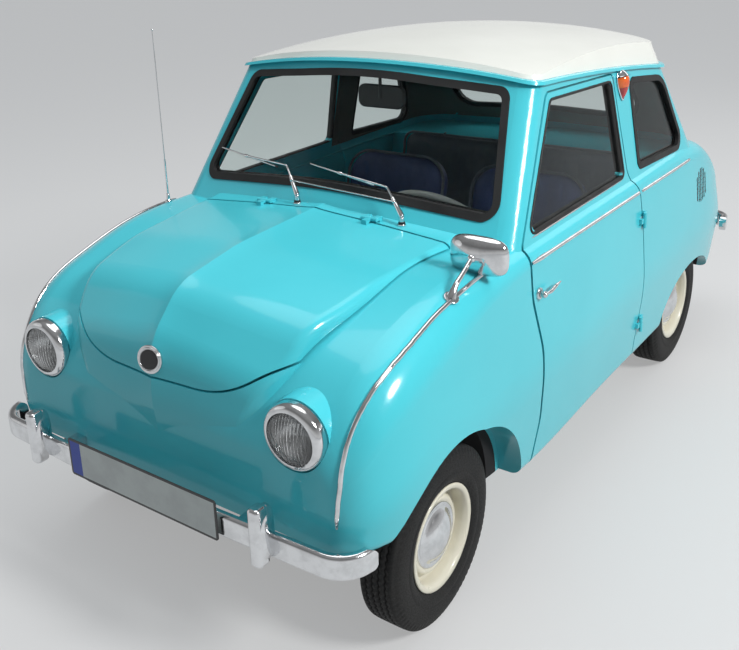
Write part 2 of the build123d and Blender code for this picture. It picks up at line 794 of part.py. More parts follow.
with BuildPart() as bench:
    with BuildSketch(Plane.YZ.offset(-470)):
        with BuildLine():
            FilletPolyline((330, 265.3), (420, 265.3), (610, 270.1), (632, 880), (560, 890), (500, 440),
                           (330, 440), radius=[20, 2, 20, 30, 30, 40, 40], close=True)
        make_face()
    extrude(amount=940)
    fillet(bench.edges().filter_by(GeomType.LINE).filter_by(
        lambda edge: abs(edge.tangent_at(0).X) < 0.5), 18)
    with BuildSketch(Plane.XZ.offset(-200)):
        with Locations((0, 545)):
            RectangleRounded(940, 700, 60)
    extrude(amount=-600, mode=Mode.INTERSECT)
bench_part = bench.part
for side in (1, -1):
    bench_part = bench_part - housing(rear_axle_y, rear_housing_radius + housing_wall + 3,
                                      rear_housing_x - housing_wall - 3, side)
save(bench_part, "rear_bench")

with BuildPart() as mirror_inside:
    with Locations((27, -345, 1205)):
        Box(160, 16, 70)
    fillet(mirror_inside.edges().filter_by(Axis.Y), 22)
    fillet(mirror_inside.edges().filter_by(Axis.Y, reverse=True), 4)
    with Locations((27, -352, 1260)):
        Cylinder(5, 120)
save(mirror_inside.part & upper_hollow, "inner_mirror")

# Wing mirror: rounded shell with its flat glass to the rear, on a bent stalk
mirror_foot = (575, -900, 862)
mirror_head = (573, -750, 926)
mirror_shell_depth = 42
with BuildPart() as wing_mirror:
    with BuildSketch(Plane.XZ.offset(-mirror_head[1])):
        with Locations((mirror_head[0], mirror_head[2])):
            RectangleRounded(148, 92, 40)
    extrude(amount=mirror_shell_depth, taper=14)
    fillet(wing_mirror.faces().sort_by(Axis.Y)[0].edges(), 12)
    with Locations(mirror_foot):
        Cone(20, 15, 26)
    with BuildLine():
        stalk = Spline(mirror_foot, (577, -862, 900), (579, -782, 922), tangents=[(0, 0.4, 1), (0, 1, 0.2)])
    with BuildSketch(Plane(origin=stalk @ 0, z_dir=stalk % 0)):
        Circle(7)
    sweep(path=stalk)
save(wing_mirror.part - lower.part, "wing_mirror")

with BuildPart() as antenna:
    with Locations((-560, -700, 900)):
        Cylinder(3, 530, align=(Align.CENTER, Align.CENTER, Align.MIN))
    with Locations((-560, -700, 860)):
        Cone(16, 6, 60, align=(Align.CENTER, Align.CENTER, Align.MIN))
save(antenna.part - lower.part, "antenna")

# Wipers: foot, top of the spindle, elbow of the arm and both ends of the blade
wiper_places = [
    ((274, -636, 905), (274, -636, 946), (208, -604, 1011), (162, -598, 1009), (-68, -586, 1042)),
    ((-80, -642, 905), (-80, -642, 960), (-146, -600, 1031), (-201, -588, 1019), (-456, -541, 1041)),
]
with BuildPart() as wipers:
    for foot, top, elbow, near, tip in wiper_places:
        with Locations(foot):
            Cylinder(9, top[2] - foot[2], align=(Align.CENTER, Align.CENTER, Align.MIN))
        for start, end, radius in ((top, elbow, 4), (elbow, near, 3.5), (near, tip, 4)):
            with Locations(end):
                Sphere(radius)
            reach = Vector(end) - Vector(start)
            with BuildSketch(Plane(start, z_dir=reach)):
                Circle(radius)
            extrude(amount=reach.length)
    link_ends = [Vector(top) + 0.47 * (Vector(elbow) - Vector(top))
                 for foot, top, elbow, near, tip in wiper_places]
    with BuildSketch(Plane(link_ends[0], z_dir=link_ends[1] - link_ends[0])):
        Circle(2.5)
    extrude(amount=(link_ends[1] - link_ends[0]).length)
save(wipers.part - dome - lower.part - cabin, "wipers")

# Door handle: round plate with a post, and a lever along the door
handle_y = -512
handle_z = 750
with BuildPart() as handles:
    with Locations(Location((626, handle_y, handle_z), (0, 90, 0))):
        Cone(19, 15, 26)
    with Locations(Location((636, handle_y, handle_z), (0, 90, 0))):
        Cylinder(7, 16)
    with BuildSketch(Plane.YZ.offset(641)):
        with Locations((handle_y + 44, handle_z)):
            SlotOverall(108, 15)
    extrude(amount=8)
    fillet(handles.faces().sort_by(Axis.X)[-1].edges(), 3)
handle = handles.part - lower.part
for side, side_name in ((1, "left"), (-1, "right")):
    save(handle if side > 0 else mirror(handle, about=Plane.YZ), "door_handle_" + side_name)

save(shell, "body_shell")
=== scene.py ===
import math

import bmesh
import bpy
from mathutils import Matrix, Vector
from mathutils.bvhtree import BVHTree


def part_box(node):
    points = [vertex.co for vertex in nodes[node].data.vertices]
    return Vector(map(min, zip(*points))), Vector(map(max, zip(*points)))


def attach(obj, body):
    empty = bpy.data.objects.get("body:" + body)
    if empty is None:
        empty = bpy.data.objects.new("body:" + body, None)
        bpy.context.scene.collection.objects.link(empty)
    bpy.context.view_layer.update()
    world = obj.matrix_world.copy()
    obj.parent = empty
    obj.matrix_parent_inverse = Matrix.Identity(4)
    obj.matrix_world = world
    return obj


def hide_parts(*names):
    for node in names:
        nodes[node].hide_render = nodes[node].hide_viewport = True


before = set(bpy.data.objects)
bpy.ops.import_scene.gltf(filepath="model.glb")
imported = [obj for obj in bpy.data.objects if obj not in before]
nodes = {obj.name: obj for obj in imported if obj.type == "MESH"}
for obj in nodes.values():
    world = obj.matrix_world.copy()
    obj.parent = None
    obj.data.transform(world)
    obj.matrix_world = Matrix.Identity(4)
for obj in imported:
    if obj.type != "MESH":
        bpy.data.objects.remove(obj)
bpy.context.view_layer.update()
sides = (("left", 1), ("right", -1))
print("frame loaded:", len(nodes), "nodes")


# Node helpers

def mathNode(tree, operation, first, second=None, clamp=False):
    node = tree.nodes.new("ShaderNodeMath")
    node.operation = operation
    node.use_clamp = clamp
    for index, value in enumerate((first, second)):
        if isinstance(value, (int, float)):
            node.inputs[index].default_value = value
        elif value is not None:
            tree.links.new(value, node.inputs[index])
    return node.outputs[0]


def objectPlace(tree):
    return tree.nodes.new("ShaderNodeTexCoord").outputs["Object"]


def splitPlace(tree):
    split = tree.nodes.new("ShaderNodeSeparateXYZ")
    tree.links.new(objectPlace(tree), split.inputs[0])
    return split.outputs


def mixColour(tree, mask, first, second):
    node = tree.nodes.new("ShaderNodeMix")
    node.data_type = "RGBA"
    tree.links.new(mask, node.inputs["Factor"])
    for socket, value in ((node.inputs[6], first), (node.inputs[7], second)):
        if isinstance(value, tuple):
            socket.default_value = value
        else:
            tree.links.new(value, socket)
    return node.outputs[2]


def spread(tree, mask, low, high):
    node = tree.nodes.new("ShaderNodeMapRange")
    node.inputs["To Min"].default_value = low
    node.inputs["To Max"].default_value = high
    tree.links.new(mask, node.inputs["Value"])
    return node.outputs["Result"]


def addBump(tree, shader, height, strength, distance):
    bump = tree.nodes.new("ShaderNodeBump")
    bump.inputs["Strength"].default_value = strength
    bump.inputs["Distance"].default_value = distance
    tree.links.new(height, bump.inputs["Height"])
    tree.links.new(bump.outputs["Normal"], shader.inputs["Normal"])


def newMaterial(name, **fixed):
    # fixed: the shader's own values, with spaces left out of their names
    material = bpy.data.materials.new(name)
    material.use_nodes = True
    tree = material.node_tree
    tree.nodes.clear()
    output = tree.nodes.new("ShaderNodeOutputMaterial")
    shader = tree.nodes.new("ShaderNodeBsdfPrincipled")
    for socket in shader.inputs:
        value = fixed.get(socket.name.replace(" ", ""))
        if value is not None:
            socket.default_value = value
    tree.links.new(shader.outputs[0], output.inputs[0])
    return material, tree, shader


# Camera and light

photoView = {
    "place": (1.592, -2.743, 1.727),
    "look": (-0.5943, 0.7302, -0.3370),
    "roll": -3.07,
    "lens": 46.4,
    "sensor": 36,
    "shiftX": 0.1072,
    "shiftY": -0.0912,
    "farthest": 200,
}


def addCamera():
    look = Vector(photoView["look"]).normalized()
    right = look.cross(Vector((0, 0, 1))).normalized()
    up = right.cross(look)
    turn = math.radians(photoView["roll"])
    rolledRight = right * math.cos(turn) + up * math.sin(turn)
    rolledUp = up * math.cos(turn) - right * math.sin(turn)
    data = bpy.data.cameras.new("photoCamera")
    data.lens = photoView["lens"]
    data.sensor_width = photoView["sensor"]
    data.shift_x = photoView["shiftX"]
    data.shift_y = photoView["shiftY"]
    data.clip_end = photoView["farthest"]
    camera = bpy.data.objects.new("photoCamera", data)
    basis = Matrix((rolledRight, rolledUp, -look)).transposed().to_4x4()
    camera.matrix_world = Matrix.Translation(photoView["place"]) @ basis
    bpy.context.collection.objects.link(camera)
    bpy.context.scene.camera = camera


lampAim = (0, 0, 0.5)
lampSet = {
    "key": {"place": (5.4, -0.6, 4.5), "size": 1.5, "power": 335},
    "top": {"place": (-0.4, 0.2, 5.4), "size": 4.0, "power": 80},
    "fill": {"place": (-4.2, -3.4, 2.6), "size": 3.0, "power": 10},
    "back": {"place": (1.5, 4.8, 3.4), "size": 3.0, "power": 30},
}


def addLamp(name, place, size, power):
    data = bpy.data.lights.new(name, "AREA")
    data.shape = "DISK"
    data.size = size
    data.energy = power
    lamp = bpy.data.objects.new(name, data)
    aim = Vector(lampAim) - Vector(place)
    lamp.matrix_world = Matrix.Translation(place) @ aim.to_track_quat("-Z", "Y").to_matrix().to_4x4()
    bpy.context.collection.objects.link(lamp)


surroundings = {
    "floorSize": 60.0,
    "floorColour": (0.32, 0.32, 0.317, 1),
    "backdrop": ((0.0, 0.62), (0.12, 0.52), (0.45, 0.16), (1.0, 0.34)),  # height, grey
    "skyColour": (0.84, 0.92, 1.0, 1),
    "horizonLight": 0.10,
    "zenithLight": 0.66,
    "floorLift": 0.36,
}


def sightMask(tree):
    # 1 for what the camera sees directly, in metal or through glass, and not by way of a matt surface
    path = tree.nodes.new("ShaderNodeLightPath").outputs
    seen = path["Is Camera Ray"]
    for ray in ("Is Glossy Ray", "Is Transmission Ray"):
        seen = mathNode(tree, "MAXIMUM", seen, path[ray])
    return mathNode(tree, "MULTIPLY", seen, mathNode(tree, "LESS_THAN", path["Diffuse Depth"], 0.5))


def addSky():
    world = bpy.data.worlds.new("studio")
    bpy.context.scene.world = world
    world.use_nodes = True
    tree = world.node_tree
    tree.nodes.clear()
    way = tree.nodes.new("ShaderNodeSeparateXYZ")
    tree.links.new(tree.nodes.new("ShaderNodeTexCoord").outputs["Generated"], way.inputs[0])
    # the backdrop is pale at the floor's edge and darker above
    shown = tree.nodes.new("ShaderNodeBackground")
    ramp = tree.nodes.new("ShaderNodeValToRGB")
    elements = ramp.color_ramp.elements
    while len(elements) < len(surroundings["backdrop"]):
        elements.new(0.5)
    for element, (height, grey) in zip(elements, surroundings["backdrop"]):
        element.position = height
        element.color = (grey, grey, grey, 1)
    tree.links.new(way.outputs["Z"], ramp.inputs["Fac"])
    tree.links.new(ramp.outputs["Color"], shown.inputs["Color"])
    # the sky's light rises from the horizon to the top
    light = tree.nodes.new("ShaderNodeBackground")
    light.inputs["Color"].default_value = surroundings["skyColour"]
    rise = spread(tree, way.outputs["Z"], surroundings["horizonLight"], surroundings["zenithLight"])
    tree.links.new(rise, light.inputs["Strength"])
    mix = tree.nodes.new("ShaderNodeMixShader")
    output = tree.nodes.new("ShaderNodeOutputWorld")
    tree.links.new(sightMask(tree), mix.inputs[0])
    tree.links.new(light.outputs[0], mix.inputs[1])
    tree.links.new(shown.outputs[0], mix.inputs[2])
    tree.links.new(mix.outputs[0], output.inputs[0])


def addFloor():
    material, tree, shader = newMaterial("paleFloor", BaseColor=surroundings["floorColour"], Roughness=0.9,
                                         SpecularIORLevel=0.1, EmissionColor=(1, 1, 1, 1))
    lift = mathNode(tree, "MULTIPLY", sightMask(tree), surroundings["floorLift"])
    tree.links.new(lift, shader.inputs["Emission Strength"])
    bm = bmesh.new()
    bmesh.ops.create_grid(bm, x_segments=1, y_segments=1, size=surroundings["floorSize"] / 2)
    mesh = bpy.data.meshes.new("studioFloor")
    bm.to_mesh(mesh)
    bm.free()
    floor = bpy.data.objects.new("studioFloor", mesh)
    mesh.materials.append(material)
    bpy.context.collection.objects.link(floor)


bpy.context.scene.view_settings.view_transform = "Standard"
addCamera()
for name, lampSpec in lampSet.items():
    addLamp(name, **lampSpec)
addSky()
addFloor()
print("camera, lamps and floor placed")


# Shared shader groups: they put out masks and heights only

def newGroup(name, inputs, outputs):
    group = bpy.data.node_groups.new(name, "ShaderNodeTree")
    for label, value in inputs.items():
        socket = group.interface.new_socket(label, in_out="INPUT", socket_type="NodeSocketFloat")
        socket.default_value = value
    for label in outputs:
        group.interface.new_socket(label, in_out="OUTPUT", socket_type="NodeSocketFloat")
    return group, group.nodes.new("NodeGroupInput").outputs, group.nodes.new("NodeGroupOutput").inputs


def makeGrain():
    # fine mottling from noise: a height, and a mask of its brighter half
    group, enter, leave = newGroup("fineGrain", {"Scale": 100.0, "Roughness": 0.5}, ("Height", "Mask"))
    noise = group.nodes.new("ShaderNodeTexNoise")
    noise.inputs["Detail"].default_value = 4
    group.links.new(objectPlace(group), noise.inputs["Vector"])
    group.links.new(enter["Scale"], noise.inputs["Scale"])
    group.links.new(enter["Roughness"], noise.inputs["Roughness"])
    ramp = group.nodes.new("ShaderNodeValToRGB")
    ramp.color_ramp.elements[0].position = 0.42
    ramp.color_ramp.elements[1].position = 0.62
    group.links.new(noise.outputs["Fac"], ramp.inputs["Fac"])
    group.links.new(noise.outputs["Fac"], leave["Height"])
    group.links.new(ramp.outputs["Color"], leave["Mask"])
    return group


def makeRoadDust():
    # more dust near the ground, broken up by noise
    group, enter, leave = newGroup("roadDust", {"Top": 0.4, "Amount": 0.4}, ("Mask",))
    noise = group.nodes.new("ShaderNodeTexNoise")
    noise.inputs["Scale"].default_value = 7
    noise.inputs["Detail"].default_value = 6
    noise.inputs["Roughness"].default_value = 0.65
    group.links.new(objectPlace(group), noise.inputs["Vector"])
    lowness = mathNode(group, "DIVIDE", splitPlace(group)["Z"], enter["Top"])
    lowness = mathNode(group, "SUBTRACT", 1.0, lowness, clamp=True)
    patchy = mathNode(group, "MULTIPLY", lowness, noise.outputs["Fac"])
    group.links.new(mathNode(group, "MULTIPLY", patchy, enter["Amount"], clamp=True), leave["Mask"])
    return group


# The cabin: half width and rear edge at a height, how they and the rear edge's bow change upwards,
# the round rear corners, where the dark lining starts (partly the real trim, partly painted shade), and the
# roof's top, its y and its two radii
liningAndShadeZone = {
    "height": 0.85, "half": 0.592, "halfSlope": 0.1836, "rear": 1.012, "rearSlope": 0.676,
    "bow": 0.134, "bowRise": 0.175, "corner": 0.150, "from": 0.19, "above": 0.875,
    "roof": 1.360, "roofY": 0.030, "roofAlong": 4.2, "roofAcross": 2.3, "roofWall": 0.010,
}
# Wheel housings: the axle's y and the reach round it; the arch's middle, half length and half height;
# then where the outer skin's inner side lies, and how it leans and narrows to the nose and tail
housingZone = {
    "front": {"axle": -0.967, "reach": 0.320, "arch": (-0.967, 0.230), "size": (0.349, 0.289)},
    "rear": {"axle": 0.833, "reach": 0.290, "arch": (0.863, 0.215), "size": (0.329, 0.194)},
    "height": 0.240, "half": 0.600, "lipRise": 0.065, "noseFrom": -1.15, "noseSlope": 0.35,
    "tailFrom": 1.00, "tailSlope": 0.25,
}


def makeLiningAndShadeMask():
    # 1 on the cabin's inner side behind the doors and under the roof, for a dark lining: the real trim and
    # headliner, and painted shade on the pillars' inner sides
    group, enter, leave = newGroup("cabinLiningAndShade", {"Wall": 0.016}, ("Mask",))

    def node(operation, first, second):
        return mathNode(group, operation, first, second)

    zone = liningAndShadeZone
    place = splitPlace(group)
    y, z = place["Y"], place["Z"]
    wide = mathNode(group, "ABSOLUTE", place["X"])
    square = node("MULTIPLY", wide, wide)
    rise = node("SUBTRACT", z, zone["height"])
    half = node("SUBTRACT", zone["half"], enter["Wall"])
    half = node("SUBTRACT", half, node("MULTIPLY", rise, zone["halfSlope"]))
    bow = node("ADD", zone["bow"], node("MULTIPLY", rise, zone["bowRise"]))
    rear = node("SUBTRACT", zone["rear"], enter["Wall"])
    rear = node("SUBTRACT", rear, node("MULTIPLY", rise, zone["rearSlope"]))
    rear = node("SUBTRACT", rear, node("MULTIPLY", square, bow))
    fromApex = node("SUBTRACT", y, zone["roofY"])
    drop = node("ADD", node("DIVIDE", node("MULTIPLY", fromApex, fromApex), 2 * zone["roofAlong"]),
                node("DIVIDE", square, 2 * zone["roofAcross"]))
    under = node("SUBTRACT", zone["roof"] - zone["roofWall"], drop)
    # the rear corners are round, so a place past both straight stretches is measured as an arc
    radius = node("SUBTRACT", zone["corner"], enter["Wall"])
    squares = []
    for value, edge in ((wide, half), (y, rear)):
        past = node("MAXIMUM", node("SUBTRACT", value, node("SUBTRACT", edge, radius)), 0.0)
        squares.append(node("MULTIPLY", past, past))
    mask = node("LESS_THAN", node("ADD", *squares), node("MULTIPLY", radius, radius))
    for test in (node("LESS_THAN", z, under), node("GREATER_THAN", y, zone["from"]),
                 node("GREATER_THAN", z, zone["above"])):
        mask = node("MULTIPLY", mask, test)
    group.links.new(mask, leave["Mask"])
    return group


def makeHousingShadeMask():
    # 1 inside the wheel housings and on the arches' inner edges, behind the outer skin, where near-black
    # painted shade goes
    group, enter, leave = newGroup("wheelHousings", {"Lip": 0.597}, ("Mask",))

    def node(operation, first, second):
        return mathNode(group, operation, first, second)

    zone = housingZone
    place = splitPlace(group)
    y, z = place["Y"], place["Z"]
    wide = mathNode(group, "ABSOLUTE", place["X"])

    def inOval(middle, size):
        # 1 where a place lies inside an upright ellipse
        parts = []
        for value, centre, half in ((y, middle[0], size[0]), (z, middle[1], size[1])):
            offset = node("DIVIDE", node("SUBTRACT", value, centre), half)
            parts.append(node("MULTIPLY", offset, offset))
        return node("LESS_THAN", node("ADD", *parts), 1.0)

    nose = node("MINIMUM", node("SUBTRACT", y, zone["noseFrom"]), 0.0)
    tail = node("MAXIMUM", node("SUBTRACT", y, zone["tailFrom"]), 0.0)
    lip = node("ADD", enter["Lip"], node("MULTIPLY", z, zone["lipRise"]))
    lip = node("ADD", lip, node("MULTIPLY", nose, zone["noseSlope"]))
    lip = node("SUBTRACT", lip, node("MULTIPLY", tail, zone["tailSlope"]))
    masks = []
    for spec in (zone["front"], zone["rear"]):
        deep = inOval((spec["axle"], zone["height"]), (spec["reach"], spec["reach"]))
        deep = node("MULTIPLY", deep, node("LESS_THAN", wide, zone["half"]))
        edge = node("MULTIPLY", inOval(spec["arch"], spec["size"]), node("LESS_THAN", wide, lip))
        masks.append(node("MAXIMUM", deep, edge))
    group.links.new(node("MAXIMUM", *masks), leave["Mask"])
    return group


groups = {
    "grain": makeGrain(), "dust": makeRoadDust(), "lining": makeLiningAndShadeMask(),
    "housing": makeHousingShadeMask(),
}


def placeGroup(tree, group, **values):
    node = tree.nodes.new("ShaderNodeGroup")
    node.node_tree = groups[group]
    for label, value in values.items():
        node.inputs[label].default_value = value
    return node.outputs


# Finishes

dustColour = (0.30, 0.29, 0.26, 1)
# dark taupe for the cabin's lining: partly the real trim, partly painted shade on the pillars' inner sides
liningAndShadeColour = (0.15, 0.142, 0.13, 1)
# near-black painted shade inside the wheel housings and on the arches' inner edges
housingShadeColour = (0.018, 0.018, 0.019, 1)


def mottled(tree, shader, mask, colours, rough):
    # colour and roughness drift together between two values each
    tree.links.new(mixColour(tree, mask, *colours), shader.inputs["Base Color"])
    tree.links.new(spread(tree, mask, *rough), shader.inputs["Roughness"])


def glossPaint(name, colour, shade, dust=0.14, hidden=False):
    # enamel: colour drifts a little, road film near the sills, clear gloss on top; with hidden, the cabin's
    # inner side gets a dark lining, partly the real trim and partly painted shade, and the wheel housings get
    # near-black painted shade
    coat = 0.35
    material, tree, shader = newMaterial(name, CoatWeight=coat, CoatRoughness=0.05, SpecularIORLevel=0.25)
    drift = placeGroup(tree, "grain", Scale=2.6, Roughness=0.5)["Mask"]
    film = placeGroup(tree, "dust", Top=0.45, Amount=dust)["Mask"]
    peel = placeGroup(tree, "grain", Scale=420.0, Roughness=0.4)["Height"]
    base = mixColour(tree, drift, colour, shade)
    base = mixColour(tree, film, base, dustColour)
    rough = spread(tree, film, 0.22, 0.75)
    if hidden:
        # the cabin's lining, partly painted shade on the pillars
        linedAndShaded = placeGroup(tree, "lining", Wall=0.016)["Mask"]
        # near-black painted shade inside the wheel housings; both it and the lining are matt and have no
        # gloss
        shadedHousing = placeGroup(tree, "housing", Lip=0.597)["Mask"]
        base = mixColour(tree, linedAndShaded, base, liningAndShadeColour)
        base = mixColour(tree, shadedHousing, base, housingShadeColour)
        covered = mathNode(tree, "MAXIMUM", linedAndShaded, shadedHousing)
        rough = mathNode(tree, "MAXIMUM", rough, mathNode(tree, "MULTIPLY", covered, 0.85))
        tree.links.new(spread(tree, covered, coat, 0.0), shader.inputs["Coat Weight"])
    tree.links.new(base, shader.inputs["Base Color"])
    tree.links.new(rough, shader.inputs["Roughness"])
    addBump(tree, shader, peel, 0.03, 0.002)
    return material


def brightMetal(name, colour, rough=0.06, smear=0.12):
    material, tree, shader = newMaterial(name, Metallic=1.0)
    wipe = placeGroup(tree, "grain", Scale=26.0, Roughness=0.6)["Mask"]
    pits = placeGroup(tree, "grain", Scale=900.0, Roughness=0.7)["Height"]
    dull = tuple(part * 0.86 for part in colour[:3]) + (1,)
    mottled(tree, shader, wipe, (colour, dull), (rough, rough + smear))
    addBump(tree, shader, pits, 0.02, 0.001)
    return material


def softRubber(name, colour, grey, rough=0.62, scale=160.0, bump=0.2):
    material, tree, shader = newMaterial(name)
    bloom = placeGroup(tree, "grain", Scale=9.0, Roughness=0.6)["Mask"]
    pores = placeGroup(tree, "grain", Scale=scale, Roughness=0.6)["Height"]
    mottled(tree, shader, bloom, (colour, grey), (rough, min(rough + 0.2, 1)))
    addBump(tree, shader, pores, bump, 0.001)
    return material


def clearGlass(name, tint, rough=0.0, ior=1.45):
    material, tree, shader = newMaterial(name, BaseColor=tint, TransmissionWeight=1.0, IOR=ior)
    film = placeGroup(tree, "grain", Scale=6.0, Roughness=0.6)["Mask"]
    tree.links.new(spread(tree, film, rough, rough + 0.02), shader.inputs["Roughness"])
    return material


def lampPlastic(name, colour, deep):
    # coloured lens plastic over a pale shell, glossy outside
    material, tree, shader = newMaterial(name, CoatWeight=1.0, CoatRoughness=0.03)
    cloud = placeGroup(tree, "grain", Scale=38.0, Roughness=0.5)["Mask"]
    mottled(tree, shader, cloud, (colour, deep), (0.10, 0.22))
    return material


def dustyTyre(name, fresh, worn, dusty):
    # worn black rubber with pale dust on the tread and above the bead
    material, tree, shader = newMaterial(name, SpecularIORLevel=0.3)
    bloom = placeGroup(tree, "grain", Scale=11.0, Roughness=0.6)["Mask"]
    grit = placeGroup(tree, "grain", Scale=260.0, Roughness=0.7)
    film = placeGroup(tree, "dust", Top=0.5, Amount=0.9)["Mask"]
    base = mixColour(tree, bloom, fresh, worn)
    tree.links.new(mixColour(tree, film, base, dusty), shader.inputs["Base Color"])
    tree.links.new(spread(tree, grit["Mask"], 0.6, 0.85), shader.inputs["Roughness"])
    addBump(tree, shader, grit["Height"], 0.25, 0.0008)
    return material


def grainedVinyl(name, colour, worn):
    # the hide's pattern is small cells with sunk edges
    material, tree, shader = newMaterial(name)
    sheenMask = placeGroup(tree, "grain", Scale=14.0, Roughness=0.6)["Mask"]
    hide = tree.nodes.new("ShaderNodeTexVoronoi")
    hide.feature = "DISTANCE_TO_EDGE"
    hide.inputs["Scale"].default_value = 480
    tree.links.new(objectPlace(tree), hide.inputs["Vector"])
    mottled(tree, shader, sheenMask, (colour, worn), (0.38, 0.56))
    addBump(tree, shader, hide.outputs["Distance"], 0.25, 0.0008)
    return material


blankPlate = {
    "line": 0.006, "band": 0.045, "sheet": (0.62, 0.66, 0.63, 1), "stained": (0.55, 0.58, 0.56, 1),
    "bandColour": (0.01, 0.055, 0.42, 1), "lineColour": (0.03, 0.03, 0.03, 1),
}


def plateSheet(name):
    # pale blank sheet with a dark edge line and a blue band at one end
    material, tree, shader = newMaterial(name, Roughness=0.32)
    low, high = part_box("front_plate")
    place = splitPlace(tree)
    middle = (low.z + high.z) / 2
    fromEnd = mathNode(tree, "ABSOLUTE", place["X"])
    fromMiddle = mathNode(tree, "ABSOLUTE", mathNode(tree, "SUBTRACT", place["Z"], middle))
    nearEnd = mathNode(tree, "GREATER_THAN", fromEnd, high.x - blankPlate["line"])
    nearSide = mathNode(tree, "GREATER_THAN", fromMiddle, high.z - middle - blankPlate["line"])
    edge = mathNode(tree, "MAXIMUM", nearEnd, nearSide)
    band = mathNode(tree, "LESS_THAN", place["X"], low.x + blankPlate["band"])
    film = placeGroup(tree, "grain", Scale=12.0, Roughness=0.6)["Mask"]
    base = mixColour(tree, film, blankPlate["sheet"], blankPlate["stained"])
    base = mixColour(tree, band, base, blankPlate["bandColour"])
    base = mixColour(tree, edge, base, blankPlate["lineColour"])
    tree.links.new(base, shader.inputs["Base Color"])
    return material


smooth = {"rough": 0.3, "scale": 60.0, "bump": 0.03}
finishes = {
    "paint": glossPaint("turquoiseEnamel", (0.075, 0.585, 0.665, 1), (0.068, 0.56, 0.64, 1), hidden=True),
    "roof": glossPaint("creamEnamel", (0.80, 0.80, 0.74, 1), (0.76, 0.76, 0.70, 1), dust=0.0, hidden=True),
    "wheel": glossPaint("ivoryWheelPaint", (0.78, 0.74, 0.60, 1), (0.72, 0.68, 0.55, 1), dust=0.35),
    "chrome": brightMetal("chromePlate", (0.74, 0.75, 0.765, 1)),
    "bowl": brightMetal("lampReflector", (0.42, 0.43, 0.44, 1), rough=0.16),
    "mirror": brightMetal("mirrorGlass", (0.88, 0.90, 0.91, 1), rough=0.01, smear=0.02),
    "exhaust": brightMetal("dullSteel", (0.42, 0.40, 0.37, 1), rough=0.42, smear=0.3),
    "grip": softRubber("greyGrip", (0.34, 0.335, 0.31, 1), (0.42, 0.41, 0.38, 1), **smooth),
    "dark": softRubber("blackPlastic", (0.02, 0.02, 0.022, 1), (0.035, 0.035, 0.035, 1), **smooth),
    "seal": softRubber("blackSealRubber", (0.006, 0.006, 0.0065, 1), (0.012, 0.012, 0.012, 1), rough=0.5),
    "chassis": softRubber("chassisBlack", (0.03, 0.03, 0.03, 1), (0.07, 0.065, 0.06, 1), rough=0.55),
    "iron": softRubber("castIron", (0.12, 0.12, 0.12, 1), (0.2, 0.19, 0.18, 1), rough=0.6),
    "glass": clearGlass("clearWindowGlass", (0.84, 0.89, 0.88, 1), ior=1.16),
    "lampGlass": clearGlass("lampGlass", (0.97, 0.98, 0.98, 1), rough=0.04),
    "orange": lampPlastic("orangeLens", (0.86, 0.14, 0.012, 1), (0.62, 0.075, 0.010, 1)),
    "red": lampPlastic("redLens", (0.50, 0.008, 0.008, 1), (0.30, 0.005, 0.005, 1)),
    "tyre": dustyTyre("wornTyreRubber", (0.006, 0.006, 0.0065, 1), (0.011, 0.0107, 0.0105, 1),
                      (0.022, 0.0213, 0.0195, 1)),
    "navy": grainedVinyl("navyVinyl", (0.042, 0.064, 0.165, 1), (0.060, 0.085, 0.20, 1)),
    "bench": grainedVinyl("darkBenchVinyl", (0.105, 0.125, 0.155, 1), (0.140, 0.155, 0.175, 1)),
    "piping": grainedVinyl("greyPiping", (0.16, 0.17, 0.20, 1), (0.12, 0.13, 0.15, 1)),
    "plate": plateSheet("blankPlate"),
}

# The frame's nodes by finish; those that a piece replaces below get theirs too
finishedNodes = {
    "paint": "body_shell door_left door_right front_lid engine_lid",
    "roof": "roof_panel",
    "glass": "windscreen rear_window quarter_windows door_glass_left door_glass_right",
    "seal": "window_seals",
    "chrome": "front_bumper rear_bumper headlamp_rims wing_mirror antenna wipers"
              " door_handle_left door_handle_right",
    "lampGlass": "headlamp_lenses",
    "orange": "indicators",
    "red": "tail_lamps",
    "dark": "inner_mirror dashboard steering_column",
    "grip": "steering_wheel",
    "navy": "front_seats",
    "bench": "rear_bench",
    "chassis": "seat_frames front_axle rear_axle knuckle_left knuckle_right",
    "plate": "front_plate",
    "iron": "engine",
    "exhaust": "exhaust",
    "tyre": "tyre_front_left tyre_front_right tyre_rear_left tyre_rear_right",
    "wheel": "rim_front_left rim_front_right rim_rear_left rim_rear_right",
}
for finish, names in finishedNodes.items():
    for name in names.split():
        mesh = nodes[name].data
        mesh.materials.clear()
        mesh.materials.append(finishes[finish])

print("finishes made and given to the frame's nodes")


# Making and placing new pieces

def finishPiece(bm, name, finish, body, shade=True, replaced=()):
    bmesh.ops.recalc_face_normals(bm, faces=bm.faces)
    mesh = bpy.data.meshes.new(name)
    bm.to_mesh(mesh)
    bm.free()
    for face in mesh.polygons:
        face.use_smooth = shade
    mesh.materials.append(finishes[finish])
    piece = bpy.data.objects.new(name, mesh)
    bpy.context.collection.objects.link(piece)
    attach(piece, body)
    if replaced:
        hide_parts(*replaced)
    return piece


def spunShape(profile, steps, upright=False, closed=False):
    # profile: places along the axis and radii; the axis is X, or Z where it is upright
    bm = bmesh.new()
    verts = [bm.verts.new((radius, 0, along) if upright else (along, 0, radius)) for along, radius in profile]
    edges = [bm.edges.new(pair) for pair in zip(verts, verts[1:])]
    if closed:
        edges.append(bm.edges.new((verts[-1], verts[0])))
    bmesh.ops.spin(bm, geom=verts + edges, cent=(0, 0, 0), axis=(0, 0, 1) if upright else (1, 0, 0),
                   angle=2 * math.pi, steps=steps, use_merge=True)
    bmesh.ops.remove_doubles(bm, verts=bm.verts, dist=0.00001)
    return bm


# Wheels

wheelPlaces = {
    "front_left": (0.545, -0.967, 1), "front_right": (-0.545, -0.967, -1),
    "rear_left": (0.545, 0.833, 1), "rear_right": (-0.545, 0.833, -1),
}
axleHeight = 0.240

